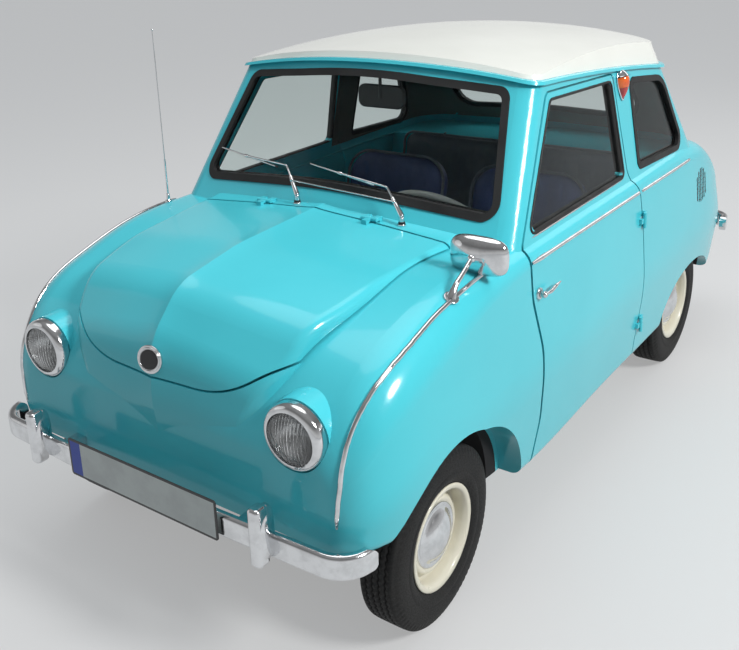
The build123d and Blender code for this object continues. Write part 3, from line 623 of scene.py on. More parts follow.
# Every outline is places along the axle, outwards, with their radii
tyre = {
    "steps": 320, "crownHalf": 0.043, "crownEdge": 0.2385, "crown": 0.2397,
    "grooves": (-0.027, -0.009, 0.009, 0.027), "grooveHalf": 0.0022, "grooveFloor": 0.7,
    "grooveDepth": 0.006, "zigzag": 0.0022, "zigzagWithin": 0.035, "zigzagAbove": 0.232,
    "blockFrom": 0.044, "blockAbove": 0.2255, "blockCut": 0.0035,
    "side": [(0.0430, 0.1285), (0.0445, 0.1425), (0.0500, 0.1500), (0.0545, 0.1600), (0.0556, 0.1730),
             (0.0548, 0.1745), (0.0552, 0.1770), (0.0558, 0.1900), (0.0552, 0.2040), (0.0535, 0.2150),
             (0.0500, 0.2262), (0.0486, 0.2278), (0.0470, 0.2320), (0.0445, 0.2368)],
}
wheelDisc = {
    "steps": 128,
    "outline": [(-0.010, 0.0185), (-0.010, 0.036), (0.010, 0.038), (0.013, 0.044), (0.0165, 0.090),
                (0.012, 0.100), (-0.004, 0.113), (-0.0065, 0.1175), (-0.008, 0.1205),
                (-0.046, 0.1225), (-0.0495, 0.128), (-0.0495, 0.141), (-0.047, 0.1422),
                (-0.0445, 0.141), (-0.0438, 0.1285), (-0.025, 0.1278), (-0.015, 0.1270),
                (0.015, 0.1270), (0.025, 0.1278), (0.0438, 0.1285), (0.0445, 0.141), (0.047, 0.1422),
                (0.0495, 0.1412), (0.0500, 0.138), (0.0490, 0.131), (0.0465, 0.1262), (0.030, 0.1235),
                (0.014, 0.1225), (0.006, 0.1205), (0.005, 0.117), (0.009, 0.112), (0.022, 0.103),
                (0.0262, 0.098), (0.0255, 0.091), (0.0225, 0.086), (0.021, 0.080), (0.021, 0.0185)],
}
hubcap = {
    "steps": 128, "domeSteps": 12, "domeArc": 60, "domeBase": 0.0300, "domeRise": 0.0240,
    "domeRadius": 0.0680,
    "rim": [(0.0285, 0.0712), (0.0262, 0.0740), (0.0262, 0.0790), (0.0282, 0.0825), (0.0277, 0.0858),
            (0.0245, 0.0880), (0.0225, 0.0875)],
}


def placeOnWheel(bm, kind, finish, place, replaced=()):
    x, y, side = wheelPlaces[place]
    bmesh.ops.scale(bm, vec=(side, 1, 1), verts=bm.verts)
    bmesh.ops.translate(bm, vec=(x, y, axleHeight), verts=bm.verts)
    finishPiece(bm, kind + "_" + place, finish, "wheel_" + place, replaced=replaced)


def tyreProfile():
    # outline from one bead over the tread to the other; the closing edge lies inside
    half, floor = tyre["grooveHalf"], tyre["grooveHalf"] * tyre["grooveFloor"]
    top, bottom = tyre["crown"], tyre["crown"] - tyre["grooveDepth"]
    crown = [(tyre["crownHalf"], tyre["crownEdge"])]
    for centre in reversed(tyre["grooves"]):
        crown += [(centre + half, top), (centre + floor, bottom),
                  (centre - floor, bottom), (centre - half, top)]
    crown.append((-tyre["crownHalf"], tyre["crownEdge"]))
    return tyre["side"] + crown + [(-along, radius) for along, radius in reversed(tyre["side"])]


def makeTyre(place):
    bm = spunShape(tyreProfile(), tyre["steps"], closed=True)
    wave = (0, 1, 0, -1)
    for vert in bm.verts:
        radius = math.hypot(vert.co.y, vert.co.z)
        step = round(math.atan2(vert.co.z, vert.co.y) / (2 * math.pi) * tyre["steps"]) % len(wave)
        if radius > tyre["zigzagAbove"] and abs(vert.co.x) < tyre["zigzagWithin"]:
            vert.co.x += wave[step] * tyre["zigzag"]
        elif abs(vert.co.x) > tyre["blockFrom"] and radius > tyre["blockAbove"] and step == 0:
            # short cuts across the shoulder blocks
            share = 1 - tyre["blockCut"] / radius
            vert.co.y *= share
            vert.co.z *= share
    placeOnWheel(bm, "tyre_tread", "tyre", place, replaced=("tyre_" + place,))


def makeWheelDisc(place):
    bm = spunShape(wheelDisc["outline"], wheelDisc["steps"], closed=True)
    placeOnWheel(bm, "wheel_disc", "wheel", place, replaced=("rim_" + place,))


def makeHubcap(place):
    # plain domed cap with a rolled rim and one pressed step
    arc = math.radians(hubcap["domeArc"])
    dome = []
    for index in range(hubcap["domeSteps"] + 1):
        turn = index / hubcap["domeSteps"] * arc
        rise = (math.cos(turn) - math.cos(arc)) / (1 - math.cos(arc))
        dome.append((hubcap["domeBase"] + hubcap["domeRise"] * rise,
                     hubcap["domeRadius"] * math.sin(turn) / math.sin(arc)))
    placeOnWheel(spunShape(dome + hubcap["rim"], hubcap["steps"]), "hubcap", "chrome", place)


for place in wheelPlaces:
    makeTyre(place)
    makeWheelDisc(place)
    makeHubcap(place)
print("wheels made")


# Surfaces, routes, rods and plain forms

def surfaceOf(*names):
    bm = bmesh.new()
    for name in names:
        bm.from_mesh(nodes[name].data)
    tree = BVHTree.FromBMesh(bm)
    bm.free()
    return tree


def skinHit(tree, side, y, z, outside=0.8):
    # where a level line from outside the car first meets a surface
    return tree.ray_cast(Vector((side * outside, y, z)), Vector((-side, 0, 0)))[0]


def curveMesh(kind, points, closed=False, resolution=12, radius=0.0, radii=()):
    # a line through the points as a mesh, with a round section where a radius is given
    data = bpy.data.curves.new("line", "CURVE")
    data.dimensions = "3D"
    data.resolution_u = resolution
    data.bevel_depth = radius
    data.bevel_resolution = 3
    data.use_fill_caps = True
    spline = data.splines.new(kind)
    spline.points.add(len(points) - 1)
    for target, place in zip(spline.points, points):
        target.co = (*place, 1)
    for target, share in zip(spline.points, radii):
        target.radius = share
    spline.use_cyclic_u = closed
    if kind == "NURBS":
        spline.order_u = 3
        spline.use_endpoint_u = True
    holder = bpy.data.objects.new("line", data)
    mesh = bpy.data.meshes.new_from_object(holder)
    bpy.data.objects.remove(holder)
    bpy.data.curves.remove(data)
    return mesh


def smoothRoute(points, resolution=10):
    # a smooth line past a few points
    mesh = curveMesh("NURBS", points, resolution=resolution)
    route = [vert.co.copy() for vert in mesh.vertices]
    bpy.data.meshes.remove(mesh)
    return route


def ringRoute(place, radius, turns):
    # points round a circle in the place's own flat
    angles = [2 * math.pi * index / turns for index in range(turns)]
    return [place @ Vector((radius * math.cos(angle), radius * math.sin(angle), 0)) for angle in angles]


def laidOn(route, tree, lift=0.0):
    # each point moves to the nearest place on the surface
    laid = []
    for place in route:
        spot, normal = tree.find_nearest(place)[:2]
        laid.append(spot + normal * lift)
    return laid


def addRod(bm, route, radius, ends=1.0, closed=False, shares=()):
    # a round rod along a route; its ends take a share of the radius, or it all follows the listed
    # shares, which are spread evenly along the route
    last = len(route) - 1
    radii = [ends] + [1.0] * (last - 1) + [ends]
    for index in range(last + 1 if shares else 0):
        place = index / last * (len(shares) - 1)
        first = min(int(place), len(shares) - 2)
        radii[index] = shares[first] + (place - first) * (shares[first + 1] - shares[first])
    mesh = curveMesh("POLY", route, closed=closed, radius=radius, radii=radii)
    bm.from_mesh(mesh)
    bpy.data.meshes.remove(mesh)


def addBall(bm, place, radius, around=32, along=20):
    bmesh.ops.create_uvsphere(bm, u_segments=around, v_segments=along, radius=radius,
                              matrix=Matrix.Translation(place))


def addBlock(bm, size, place):
    made = bmesh.ops.create_cube(bm, size=1.0)["verts"]
    bmesh.ops.scale(bm, vec=size, verts=made)
    bmesh.ops.translate(bm, vec=place, verts=made)


def addDisc(bm, radius, depth, matrix, bevel, segments=48, tip=None):
    # a round plug with its axis along the matrix's third axis
    made = bmesh.ops.create_cone(bm, cap_ends=True, segments=segments, radius1=radius,
                                 radius2=radius if tip is None else tip, depth=depth, matrix=matrix)
    edges = [edge for edge in {edge for vert in made["verts"] for edge in vert.link_edges}
             if len(edge.link_faces) == 2 and max(len(face.verts) for face in edge.link_faces) > 4]
    bmesh.ops.bevel(bm, geom=edges, offset=bevel, segments=4, affect="EDGES", profile=0.5,
                    material=-1, clamp_overlap=True)


def pillow(bm, half, square, matrix, rings=20):
    # a rounded box with crowned faces, from a sphere pushed out towards its corners
    made = bmesh.ops.create_uvsphere(bm, u_segments=rings * 2, v_segments=rings, radius=1.0)
    for vert in made["verts"]:
        reach = sum(abs(part) ** square for part in vert.co) ** (1 / square)
        vert.co = Vector([part / reach * width for part, width in zip(vert.co, half)])
    bmesh.ops.transform(bm, matrix=matrix, verts=made["verts"])
    return made["verts"]


def facing(place, direction):
    # a frame whose third axis points along the direction
    third = Vector(direction).normalized()
    first = Vector((0, 0, 1)).cross(third)
    if first.length < 0.01:
        first = Vector((1, 0, 0))
    first.normalize()
    turn = Matrix((first, third.cross(first), third)).transposed()
    return Matrix.Translation(place) @ turn.to_4x4()


def shifted(matrix, along):
    # the same frame moved along its third axis
    return matrix @ Matrix.Translation((0, 0, along))


bodySkin = surfaceOf("body_shell")
doorSkin = {word: surfaceOf("door_" + word) for word, side in sides}


# Bright strips along the wings and under the windows

strip = {
    "radius": 0.0062, "lift": 0.001, "tip": 0.4,
    "wing": [(0.583, -0.650, 0.890), (0.583, -0.770, 0.882), (0.580, -0.895, 0.865),
             (0.572, -0.975, 0.845), (0.565, -1.075, 0.805), (0.558, -1.195, 0.762),
             (0.552, -1.260, 0.715), (0.548, -1.300, 0.665), (0.543, -1.322, 0.580),
             (0.540, -1.337, 0.468)],
    # the belt line's ends as y and height, then the stretches of it on the body and on the door
    "belt": ((-0.540, 0.841), (0.788, 0.820)), "bodySpan": (0.290, 0.800), "doorSpan": (-0.5405, 0.262),
    "doorShares": (0.7, 1.3, 1.1) + (1.0,) * 14,
    # the ledge under the door's glass
    "ledgeSpan": (-0.486, 0.182), "ledgeHeight": 0.8915, "ledgeRadius": 0.0030,
}


def beltHeight(y):
    (firstY, firstZ), (lastY, lastZ) = strip["belt"]
    return firstZ + (y - firstY) / (lastY - firstY) * (lastZ - firstZ)


def sideRoute(tree, side, span, height, steps):
    # a line found on the car's side, from outside inwards; height gives its z at a y
    route = []
    for index in range(steps + 1):
        y = span[0] + (span[1] - span[0]) * index / steps
        spot = skinHit(tree, side, y, height(y))
        if spot is not None:
            route.append(spot)
    return route


def makeStrips():
    for word, side in sides:
        bm = bmesh.new()
        route = smoothRoute([(side * x, y, z) for x, y, z in strip["wing"]], 8)
        addRod(bm, laidOn(route, bodySkin, strip["lift"]), strip["radius"], ends=strip["tip"])
        addRod(bm, sideRoute(bodySkin, side, strip["bodySpan"], beltHeight, 30), strip["radius"],
               ends=strip["tip"])
        finishPiece(bm, "bright_strips_" + word, "chrome", "body")
        bm = bmesh.new()
        addRod(bm, sideRoute(doorSkin[word], side, strip["doorSpan"], beltHeight, 30), strip["radius"],
               shares=strip["doorShares"])
        addRod(bm, sideRoute(doorSkin[word], side, strip["ledgeSpan"], lambda y: strip["ledgeHeight"], 24),
               strip["ledgeRadius"], ends=strip["tip"])
        finishPiece(bm, "door_strip_" + word, "chrome", "door_" + word)


# Door glass: the opening's corners as y, height and radius; how far outside it the bead runs and its
# longest step; where the skin is measured; and the dark edge from the skin in to the glass
doorBead = {
    "corners": ((-0.500, 0.902, 0.024), (-0.266, 1.214, 0.024), (0.174, 1.194, 0.018), (0.192, 0.898, 0.024)),
    "out": 0.0036, "radius": 0.0040, "step": 0.02,
    "skinOut": 0.006, "edgeOut": -0.0008, "edgeDepth": 0.030, "edgeWall": 0.0006,
}


def roundedLoop(corners, out, steps=6):
    # closed outline with round corners, moved outwards
    middle = sum((Vector(corner[:2]) for corner in corners), Vector((0, 0))) / len(corners)
    loop = []
    for index, (y, z, radius) in enumerate(corners):
        here = Vector((y, z))
        before = (Vector(corners[index - 1][:2]) - here).normalized()
        after = (Vector(corners[(index + 1) % len(corners)][:2]) - here).normalized()
        reach = radius / math.tan(before.angle(after) / 2)
        start, end = here + before * reach, here + after * reach
        for step in range(steps + 1):
            share = step / steps
            loop.append(start * (1 - share) ** 2 + here * 2 * share * (1 - share) + end * share ** 2)
    moved = []
    for index, spot in enumerate(loop):
        along = (loop[(index + 1) % len(loop)] - loop[index - 1]).normalized()
        normal = Vector((along.y, -along.x))
        if normal.dot(spot - middle) < 0:
            normal = -normal
        moved.append(spot + normal * out)
    return moved


def makeDoorBeads():
    for word, side in sides:
        door = doorSkin[word]
        loop = roundedLoop(doorBead["corners"], doorBead["out"])
        route = []
        for index, spot in enumerate(loop):
            after = loop[(index + 1) % len(loop)]
            parts = max(1, int((after - spot).length / doorBead["step"]))
            for part in range(parts):
                route.append(skinHit(door, side, *(spot + (after - spot) * part / parts)))
        bm = bmesh.new()
        addRod(bm, route, doorBead["radius"], closed=True)
        skins = [skinHit(door, side, *spot) for spot in roundedLoop(doorBead["corners"], doorBead["skinOut"])]
        inside = roundedLoop(doorBead["corners"], doorBead["edgeOut"])
        edges = []
        for sunk in (0.0, doorBead["edgeDepth"]):
            ring = [bm.verts.new((skin.x - side * sunk, *spot)) for skin, spot in zip(skins, inside)]
            edges += [bm.edges.new((ring[index - 1], ring[index])) for index in range(len(ring))]
        made = bmesh.ops.bridge_loops(bm, edges=edges)
        bmesh.ops.solidify(bm, geom=made["faces"], thickness=doorBead["edgeWall"])
        finishPiece(bm, "door_bead_" + word, "seal", "door_" + word)


makeStrips()
makeDoorBeads()
print("bright strips and door beads laid")


# Front overriders: rounded horns over the bumper bar
overrider = {
    "x": 0.390, "half": (0.0245, 0.030, 0.070), "square": 2.7, "behindFront": 0.032,
    "narrowTop": 0.14, "topBack": 0.010,
}


def makeOverriders():
    low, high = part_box("front_bumper")
    middle = (low.z + high.z) / 2
    bm = bmesh.new()
    for x in (overrider["x"], -overrider["x"]):
        made = pillow(bm, overrider["half"], overrider["square"],
                      Matrix.Translation((x, low.y + overrider["behindFront"], middle)))
        for vert in made:
            share = max(0.0, (vert.co.z - middle) / overrider["half"][2])
            vert.co.x += (x - vert.co.x) * overrider["narrowTop"] * share
            vert.co.y += overrider["topBack"] * share * share
    finishPiece(bm, "bumper_horns", "chrome", "body")


makeOverriders()
print("bumper horns made")


# Nose badge: a plain ring with a bare middle
badge = {
    "at": (0, -1.345, 0.738), "lift": 0.003, "radius": 0.036, "depth": 0.008,
    "ring": 0.029, "ringRod": 0.0024, "ringLift": 0.004,
    "middle": 0.0255, "middleDepth": 0.004, "middleLift": 0.0035, "lidAbove": 0.69,
}


def makeBadge():
    spot, normal = surfaceOf("front_lid", "body_shell").find_nearest(Vector(badge["at"]))[:2]
    body = "front_lid" if spot.z > badge["lidAbove"] else "body"
    place = facing(spot + normal * badge["lift"], normal)
    bm = bmesh.new()
    addDisc(bm, badge["radius"], badge["depth"], place, bevel=0.002)
    addRod(bm, ringRoute(shifted(place, badge["ringLift"]), badge["ring"], 48), badge["ringRod"], closed=True)
    finishPiece(bm, "nose_badge", "chrome", body)
    bm = bmesh.new()
    addDisc(bm, badge["middle"], badge["middleDepth"], shifted(place, badge["middleLift"]), bevel=0.001)
    finishPiece(bm, "nose_badge_middle", "dark", body)


makeBadge()
print("badge made")


# Seats: pads blown up as cloth, with sewn channels and piping

seatSet = {
    "frontX": 0.262,
    "base": {"size": (0.420, 0.345, 0.078), "place": (0, -0.075, 0.437), "tilt": -3.0,
             "corner": 0.055, "pleats": 7, "swell": 0.010, "upright": False},
    "back": {"size": (0.418, 0.062, 0.430), "place": (0, 0.172, 0.668), "tilt": -13.7,
             "corner": 0.095, "pleats": 7, "swell": 0.008, "upright": True},
    "benchBase": {"size": (0.915, 0.225, 0.130), "place": (0, 0.448, 0.360), "tilt": 0.0,
                  "corner": 0.030, "pleats": 13, "swell": 0.010, "upright": False},
    "benchBack": {"size": (0.915, 0.062, 0.400), "place": (0, 0.566, 0.676), "tilt": -7.0,
                  "corner": 0.045, "pleats": 15, "swell": 0.010, "upright": True},
    "rimShare": 0.32, "rimAngle": 60, "voxel": 0.007, "pressure": 4, "frames": 20,
    # the channels' share of the width and of the run, and how they fade and deepen
    "pleatWidth": 0.86, "pleatRun": 0.84, "pleatFade": 0.02, "pleatDepth": 0.0049, "pleatLevel": 0.85,
    "pipingLevel": 0.86, "pipingIn": 0.004, "pipingRadius": 0.0052,
}


def placeSeat(spec, x):
    turn = Matrix.Rotation(math.radians(spec["tilt"]), 4, "X")
    return Matrix.Translation(Vector(spec["place"]) + Vector((x, 0, 0))) @ turn


def roundEdges(bm, edges, offset, segments):
    bmesh.ops.bevel(bm, geom=edges, offset=offset, segments=segments, affect="EDGES", profile=0.5,
                    material=-1, clamp_overlap=True)


def cushionMesh(spec):
    # a rounded slab; the large corners are seen from above on a base and from the front on a back
    bm = bmesh.new()
    bmesh.ops.create_cube(bm, size=1.0)
    bmesh.ops.scale(bm, vec=spec["size"], verts=bm.verts)
    axis = 1 if spec["upright"] else 2
    corners = [edge for edge in bm.edges
               if abs((edge.verts[1].co - edge.verts[0].co).normalized()[axis]) > 0.9]
    roundEdges(bm, corners, spec["corner"], 8)
    rim = [edge for edge in bm.edges if len(edge.link_faces) == 2
           and edge.calc_face_angle(0) > math.radians(seatSet["rimAngle"])]
    roundEdges(bm, rim, min(spec["size"]) * seatSet["rimShare"], 4)
    mesh = bpy.data.meshes.new("cushionStart")
    bm.to_mesh(mesh)
    bm.free()
    return mesh


def bakedMesh(piece):
    # the piece's mesh as its modifiers leave it, taking the place of the old one
    graph = bpy.context.evaluated_depsgraph_get()
    mesh = bpy.data.meshes.new_from_object(piece.evaluated_get(graph))
    piece.modifiers.clear()
    piece.data = mesh
    return mesh


def puffed(mesh, swell):
    # remeshed to an even grid and blown up as cloth, each point moving no more than the swell
    piece = bpy.data.objects.new("cushionWork", mesh)
    bpy.context.collection.objects.link(piece)
    remesh = piece.modifiers.new("even", "REMESH")
    remesh.mode = "VOXEL"
    remesh.voxel_size = seatSet["voxel"]
    even = bakedMesh(piece)
    start = [vert.co.copy() for vert in even.vertices]
    blown = even
    cloth = piece.modifiers.new("puff", "CLOTH")
    cloth.settings.use_pressure = True
    cloth.settings.uniform_pressure_force = seatSet["pressure"]
    cloth.settings.effector_weights.gravity = 0
    for frameNumber in range(1, seatSet["frames"] + 1):
        bpy.context.scene.frame_set(frameNumber)
    blown = bakedMesh(piece)
    bpy.context.scene.frame_set(1)
    for vert, home in zip(blown.vertices, start):
        step = vert.co - home
        if step.length > swell:
            vert.co = home + step * (swell / step.length)
    bpy.data.objects.remove(piece)
    return blown


def sewChannels(mesh, spec):
    # sewn channels on both broad sides, fading out before the edge
    half = [part / 2 for part in spec["size"]]
    run, thick = (2, 1) if spec["upright"] else (1, 2)
    reach = half[0] * seatSet["pleatWidth"]
    span = half[run] * seatSet["pleatRun"]
    pitch = 2 * reach / spec["pleats"]
    for vert in mesh.vertices:
        inside = min(reach - abs(vert.co.x), span - abs(vert.co[run]))
        if inside < 0:
            continue
        phase = ((vert.co.x + reach) / pitch) % 1.0
        crown = math.sqrt(max(0.0, 1 - (2 * phase - 1) ** 2))
        fade = min(1.0, inside / seatSet["pleatFade"])
        sign = 1 if vert.co[thick] > 0 else -1
        vert.co[thick] += sign * seatSet["pleatDepth"] * (crown - seatSet["pleatLevel"]) * fade


def makePiping(name, spec, x):
    # piping round the edge of the broad face that shows
    width, deep, high = [part / 2 for part in spec["size"]]
    corner = spec["corner"]
    along, level = (high, -deep) if spec["upright"] else (deep, high)
    level *= seatSet["pipingLevel"]
    route = []
    for quarter, (across, up) in enumerate(((1, 1), (-1, 1), (-1, -1), (1, -1))):
        for step in range(9):
            angle = math.radians(90 * quarter + 90 * step / 8)
            first = across * (width - corner) + (corner - seatSet["pipingIn"]) * math.cos(angle)
            second = up * (along - corner) + (corner - seatSet["pipingIn"]) * math.sin(angle)
            route.append(Vector((first, level, second) if spec["upright"] else (first, second, level)))
    place = placeSeat(spec, x)
    bm = bmesh.new()
    addRod(bm, [place @ spot for spot in route], seatSet["pipingRadius"], closed=True)
    finishPiece(bm, name + "_piping", "piping", "body")


def makeCushions(name, key, finish, replaced, copies):
    spec = seatSet[key]
    mesh = puffed(cushionMesh(spec), spec["swell"])
    sewChannels(mesh, spec)
    for suffix, x in copies:
        bm = bmesh.new()
        bm.from_mesh(mesh)
        bmesh.ops.smooth_vert(bm, verts=bm.verts, factor=0.3, use_axis_x=True, use_axis_y=True,
                              use_axis_z=True)
        bmesh.ops.transform(bm, matrix=placeSeat(spec, x), verts=bm.verts)
        piece = finishPiece(bm, name + suffix, finish, "body", replaced=(replaced,))
        smooth = piece.modifiers.new("smooth", "SUBSURF")
        smooth.levels = smooth.render_levels = 1
        makePiping(name + suffix, spec, x)


frontSeats = (("_left", seatSet["frontX"]), ("_right", -seatSet["frontX"]))
middleSeat = (("", 0.0),)
makeCushions("seat_base", "base", "navy", "front_seats", frontSeats)
makeCushions("seat_back", "back", "navy", "front_seats", frontSeats)
makeCushions("bench_base", "benchBase", "bench", "rear_bench", middleSeat)
makeCushions("bench_back", "benchBack", "bench", "rear_bench", middleSeat)
print("seats made")


# Headlamps: a ribbed lens over a bright bowl; the lamp's own axis points forwards, along -Y
lamp = {
    "place": (0.427, -1.346, 0.656),
    "lensRadius": 0.0637, "bulge": 0.016, "bulgePower": 2.2, "lensRings": 26, "lensSteps": 180,
    "glass": 0.0026, "ribPitch": 0.0085, "ribDepth": 0.0011,
    "bowlRadius": 0.0632, "bowlBack": 0.058, "bowlSunk": 0.004, "bowlSpan": (0.0625, 0.0105),
    "bowlRings": 14, "bowlSteps": 96, "bowlWall": 0.0015,
    "bulb": 0.009, "bulbBack": 0.035, "socket": (0.0125, 0.0110), "socketDepth": 0.030, "socketBack": 0.052,
}


def placeLamp(side):
    x, y, z = lamp["place"]
    return facing((side * x, y, z), (0, -1, 0))


def makeLens(word, side):
    shares = [index / lamp["lensRings"] for index in range(lamp["lensRings"] + 1)]
    bm = spunShape([(lamp["bulge"] * (1 - share ** lamp["bulgePower"]), lamp["lensRadius"] * share)
                    for share in shares], lamp["lensSteps"], upright=True)
    bmesh.ops.recalc_face_normals(bm, faces=bm.faces)
    outer = set(bm.verts)
    bmesh.ops.solidify(bm, geom=bm.faces, thickness=lamp["glass"])
    for vert in bm.verts:
        if vert not in outer:
            vert.co.z -= lamp["ribDepth"] * (1 + math.cos(2 * math.pi * vert.co.x / lamp["ribPitch"]))
    bmesh.ops.transform(bm, matrix=placeLamp(side), verts=bm.verts)
    finishPiece(bm, "headlamp_lens_" + word, "lampGlass", "body", replaced=("headlamp_lenses",))


def makeBowl(word, side):
    first, last = lamp["bowlSpan"]
    profile = [(-lamp["bowlSunk"], lamp["bowlRadius"])]
    for index in range(lamp["bowlRings"] + 1):
        radius = first + (last - first) * index / lamp["bowlRings"]
        deep = lamp["bowlBack"] * (1 - (radius / lamp["bowlRadius"]) ** 2)
        profile.append((-deep - lamp["bowlSunk"], radius))
    bm = spunShape(profile, lamp["bowlSteps"], upright=True)
    bmesh.ops.recalc_face_normals(bm, faces=bm.faces)
    bmesh.ops.solidify(bm, geom=bm.faces, thickness=lamp["bowlWall"])
    addBall(bm, (0, 0, -lamp["bulbBack"]), lamp["bulb"], 24, 16)
    bmesh.ops.create_cone(bm, cap_ends=True, segments=32, radius1=lamp["socket"][0],
                          radius2=lamp["socket"][1], depth=lamp["socketDepth"],
                          matrix=Matrix.Translation((0, 0, -lamp["socketBack"])))
    bmesh.ops.transform(bm, matrix=placeLamp(side), verts=bm.verts)
    finishPiece(bm, "headlamp_bowl_" + word, "bowl", "body")


for word, side in sides:
    makeLens(word, side)
    makeBowl(word, side)
print("headlamps made")


# Wing mirror: a rounded shell on a bent stalk; the bends count from the foot on the wing, and the
# neck and the glass from the shell's middle
mirrorSet = {
    "middle": (0.5715, -0.758, 0.926), "half": (0.079, 0.034, 0.050), "square": 3.4, "flatBack": 0.25,
    "foot": (0.575, -0.900, 0.866), "bends": ((0.001, 0.014, 0.026), (0.002, 0.050, 0.044)),
    "neck": (-0.004, -0.03264, 0), "neckBall": 0.0105,
    "stalk": 0.0072, "stalkShares": (1.7, 1.1, 0.9, 0.85, 0.85),
    "plate": 0.019, "plateDepth": 0.006, "plateLift": 0.002,
    "glass": (0, 0.00816, 0), "glassHalf": (0.0711, 0.0016, 0.0430),
}


def addMirrorShell(bm):
    # a rounded rectangle from the front, bowed forwards and nearly flat behind
    half, square = mirrorSet["half"], mirrorSet["square"]
    made = bmesh.ops.create_uvsphere(bm, u_segments=72, v_segments=48, radius=1.0,
                                     matrix=Matrix.Rotation(math.radians(90), 4, "X"))["verts"]
    for vert in made:
        x, y, z = vert.co
        reach = (abs(x) ** square + abs(z) ** square) ** (1 / square)
        stretch = math.hypot(x, z) / reach if reach > 0.0001 else 1.0
        depth = y * half[1] * (1 if y < 0 else mirrorSet["flatBack"])
        vert.co = Vector((x * stretch * half[0], depth, z * stretch * half[2]))
    bmesh.ops.translate(bm, vec=mirrorSet["middle"], verts=made)


def makeWingMirror():
    middle = Vector(mirrorSet["middle"])
    spot, normal = bodySkin.find_nearest(Vector(mirrorSet["foot"]))[:2]
    neck = middle + Vector(mirrorSet["neck"])
    bm = bmesh.new()
    addMirrorShell(bm)
    route = smoothRoute([spot] + [spot + Vector(bend) for bend in mirrorSet["bends"]] + [neck])
    addRod(bm, route, mirrorSet["stalk"], shares=mirrorSet["stalkShares"])
    addBall(bm, neck, mirrorSet["neckBall"])
    addDisc(bm, mirrorSet["plate"], mirrorSet["plateDepth"],
            facing(spot + normal * mirrorSet["plateLift"], normal), bevel=0.002)
    finishPiece(bm, "wing_mirror_chrome", "chrome", "body", replaced=("wing_mirror",))
    bm = bmesh.new()
    pillow(bm, mirrorSet["glassHalf"], mirrorSet["square"],
           Matrix.Translation(middle + Vector(mirrorSet["glass"])))
    finishPiece(bm, "wing_mirror_glass", "mirror", "body")


# Each wiper: spindle top, elbow, the blade's ends; the arm meets the blade at its middle
wiperSet = (
    {"top": (0.274, -0.636, 0.946), "elbow": (0.208, -0.604, 1.011),
     "near": (0.162, -0.598, 1.009), "tip": (-0.068, -0.586, 1.042)},
    {"top": (-0.080, -0.642, 0.960), "elbow": (-0.146, -0.600, 1.031),
     "near": (-0.201, -0.588, 1.019), "tip": (-0.456, -0.541, 1.041)},
)
# What both share: two discs as radius, depth, edge and height over the foot, then radii and shares;
# the arm stands off the blade by the lift, the rubber lies behind it, and the link in front of the arms
wiperParts = {
    "flange": (0.0125, 0.006, 0.0015, 0.002), "collar": (0.0095, 0.008, 0.001, 0.007),
    "spindle": 0.0072, "head": 0.0082, "headTip": 0.0050, "headShare": 0.62, "headOver": 0.006,
    "arm": 0.0029, "clip": 0.0050, "clipDepth": 0.014, "blade": 0.0026, "rubber": 0.0024, "rubberOver": 0.02,
    "link": 0.0021, "linkShare": 0.47, "linkBall": 0.0048,
    "lift": (0, -0.007, 0.004), "back": (0, 0.0045, -0.002), "linkOut": (0, -0.004, 0.003),
}


def makeWipers():
    chrome = bmesh.new()
    rubber = bmesh.new()
    links = []
    up = Vector((0, 0, 1))
    lift, back, linkOut = [Vector(wiperParts[word]) for word in ("lift", "back", "linkOut")]
    for spec in wiperSet:
        top, elbow, near, tip = [Vector(spec[word]) for word in ("top", "elbow", "near", "tip")]
        foot = bodySkin.ray_cast(top + up * 0.05, -up)[0]
        for bm, word in ((chrome, "flange"), (rubber, "collar")):
            radius, depth, edge, height = wiperParts[word]
            addDisc(bm, radius, depth, facing(foot + up * height, up), bevel=edge)
        addDisc(chrome, wiperParts["spindle"], (top - foot).z, facing((foot + top) / 2, up), bevel=0.002)
        # the arm's head narrows towards the elbow
        reach = elbow - top
        headEnd = top + reach * wiperParts["headShare"]
        addDisc(chrome, wiperParts["head"], (headEnd - top).length + wiperParts["headOver"],
                facing((top + headEnd) / 2, reach), bevel=0.002, tip=wiperParts["headTip"], segments=24)
        middle = (near + tip) / 2 + lift
        addRod(chrome, smoothRoute([headEnd, elbow + reach * -0.08, elbow + lift * 0.4,
                                    elbow + (middle - elbow) * 0.10, middle]), wiperParts["arm"])
        addDisc(chrome, wiperParts["clip"], wiperParts["clipDepth"], facing(middle, near - tip), bevel=0.001,
                segments=24)
        addRod(chrome, [near, (near + tip) / 2 + lift / 2, tip], wiperParts["blade"], ends=0.7)
        over = (tip - near) * wiperParts["rubberOver"]
        addRod(rubber, [near - over + back, tip + over + back], wiperParts["rubber"])
        links.append(top + reach * wiperParts["linkShare"] + linkOut)
    addRod(chrome, links, wiperParts["link"])
    for place in links:
        addBall(chrome, place, wiperParts["linkBall"], 16, 12)
    finishPiece(chrome, "wiper_arms", "chrome", "body", replaced=("wipers",))
    finishPiece(rubber, "wiper_rubbers", "seal", "body")


# Aerial: a seat on the body's skin, a socket, a stout foot and the whip with a ball at its top;
# discs as radius, tip's radius, depth and edge
aerialSet = {
    "seat": (0.0115, 0.0095, 0.010, 0.002), "seatLift": 0.004,
    "socket": (0.0065, 0.0045, 0.022, 0.001), "socketLift": 0.018,
    "foot": 0.0030, "footSpan": (0.01, 0.14), "whip": 0.0016, "whipFrom": 0.13, "ball": 0.0035,
}


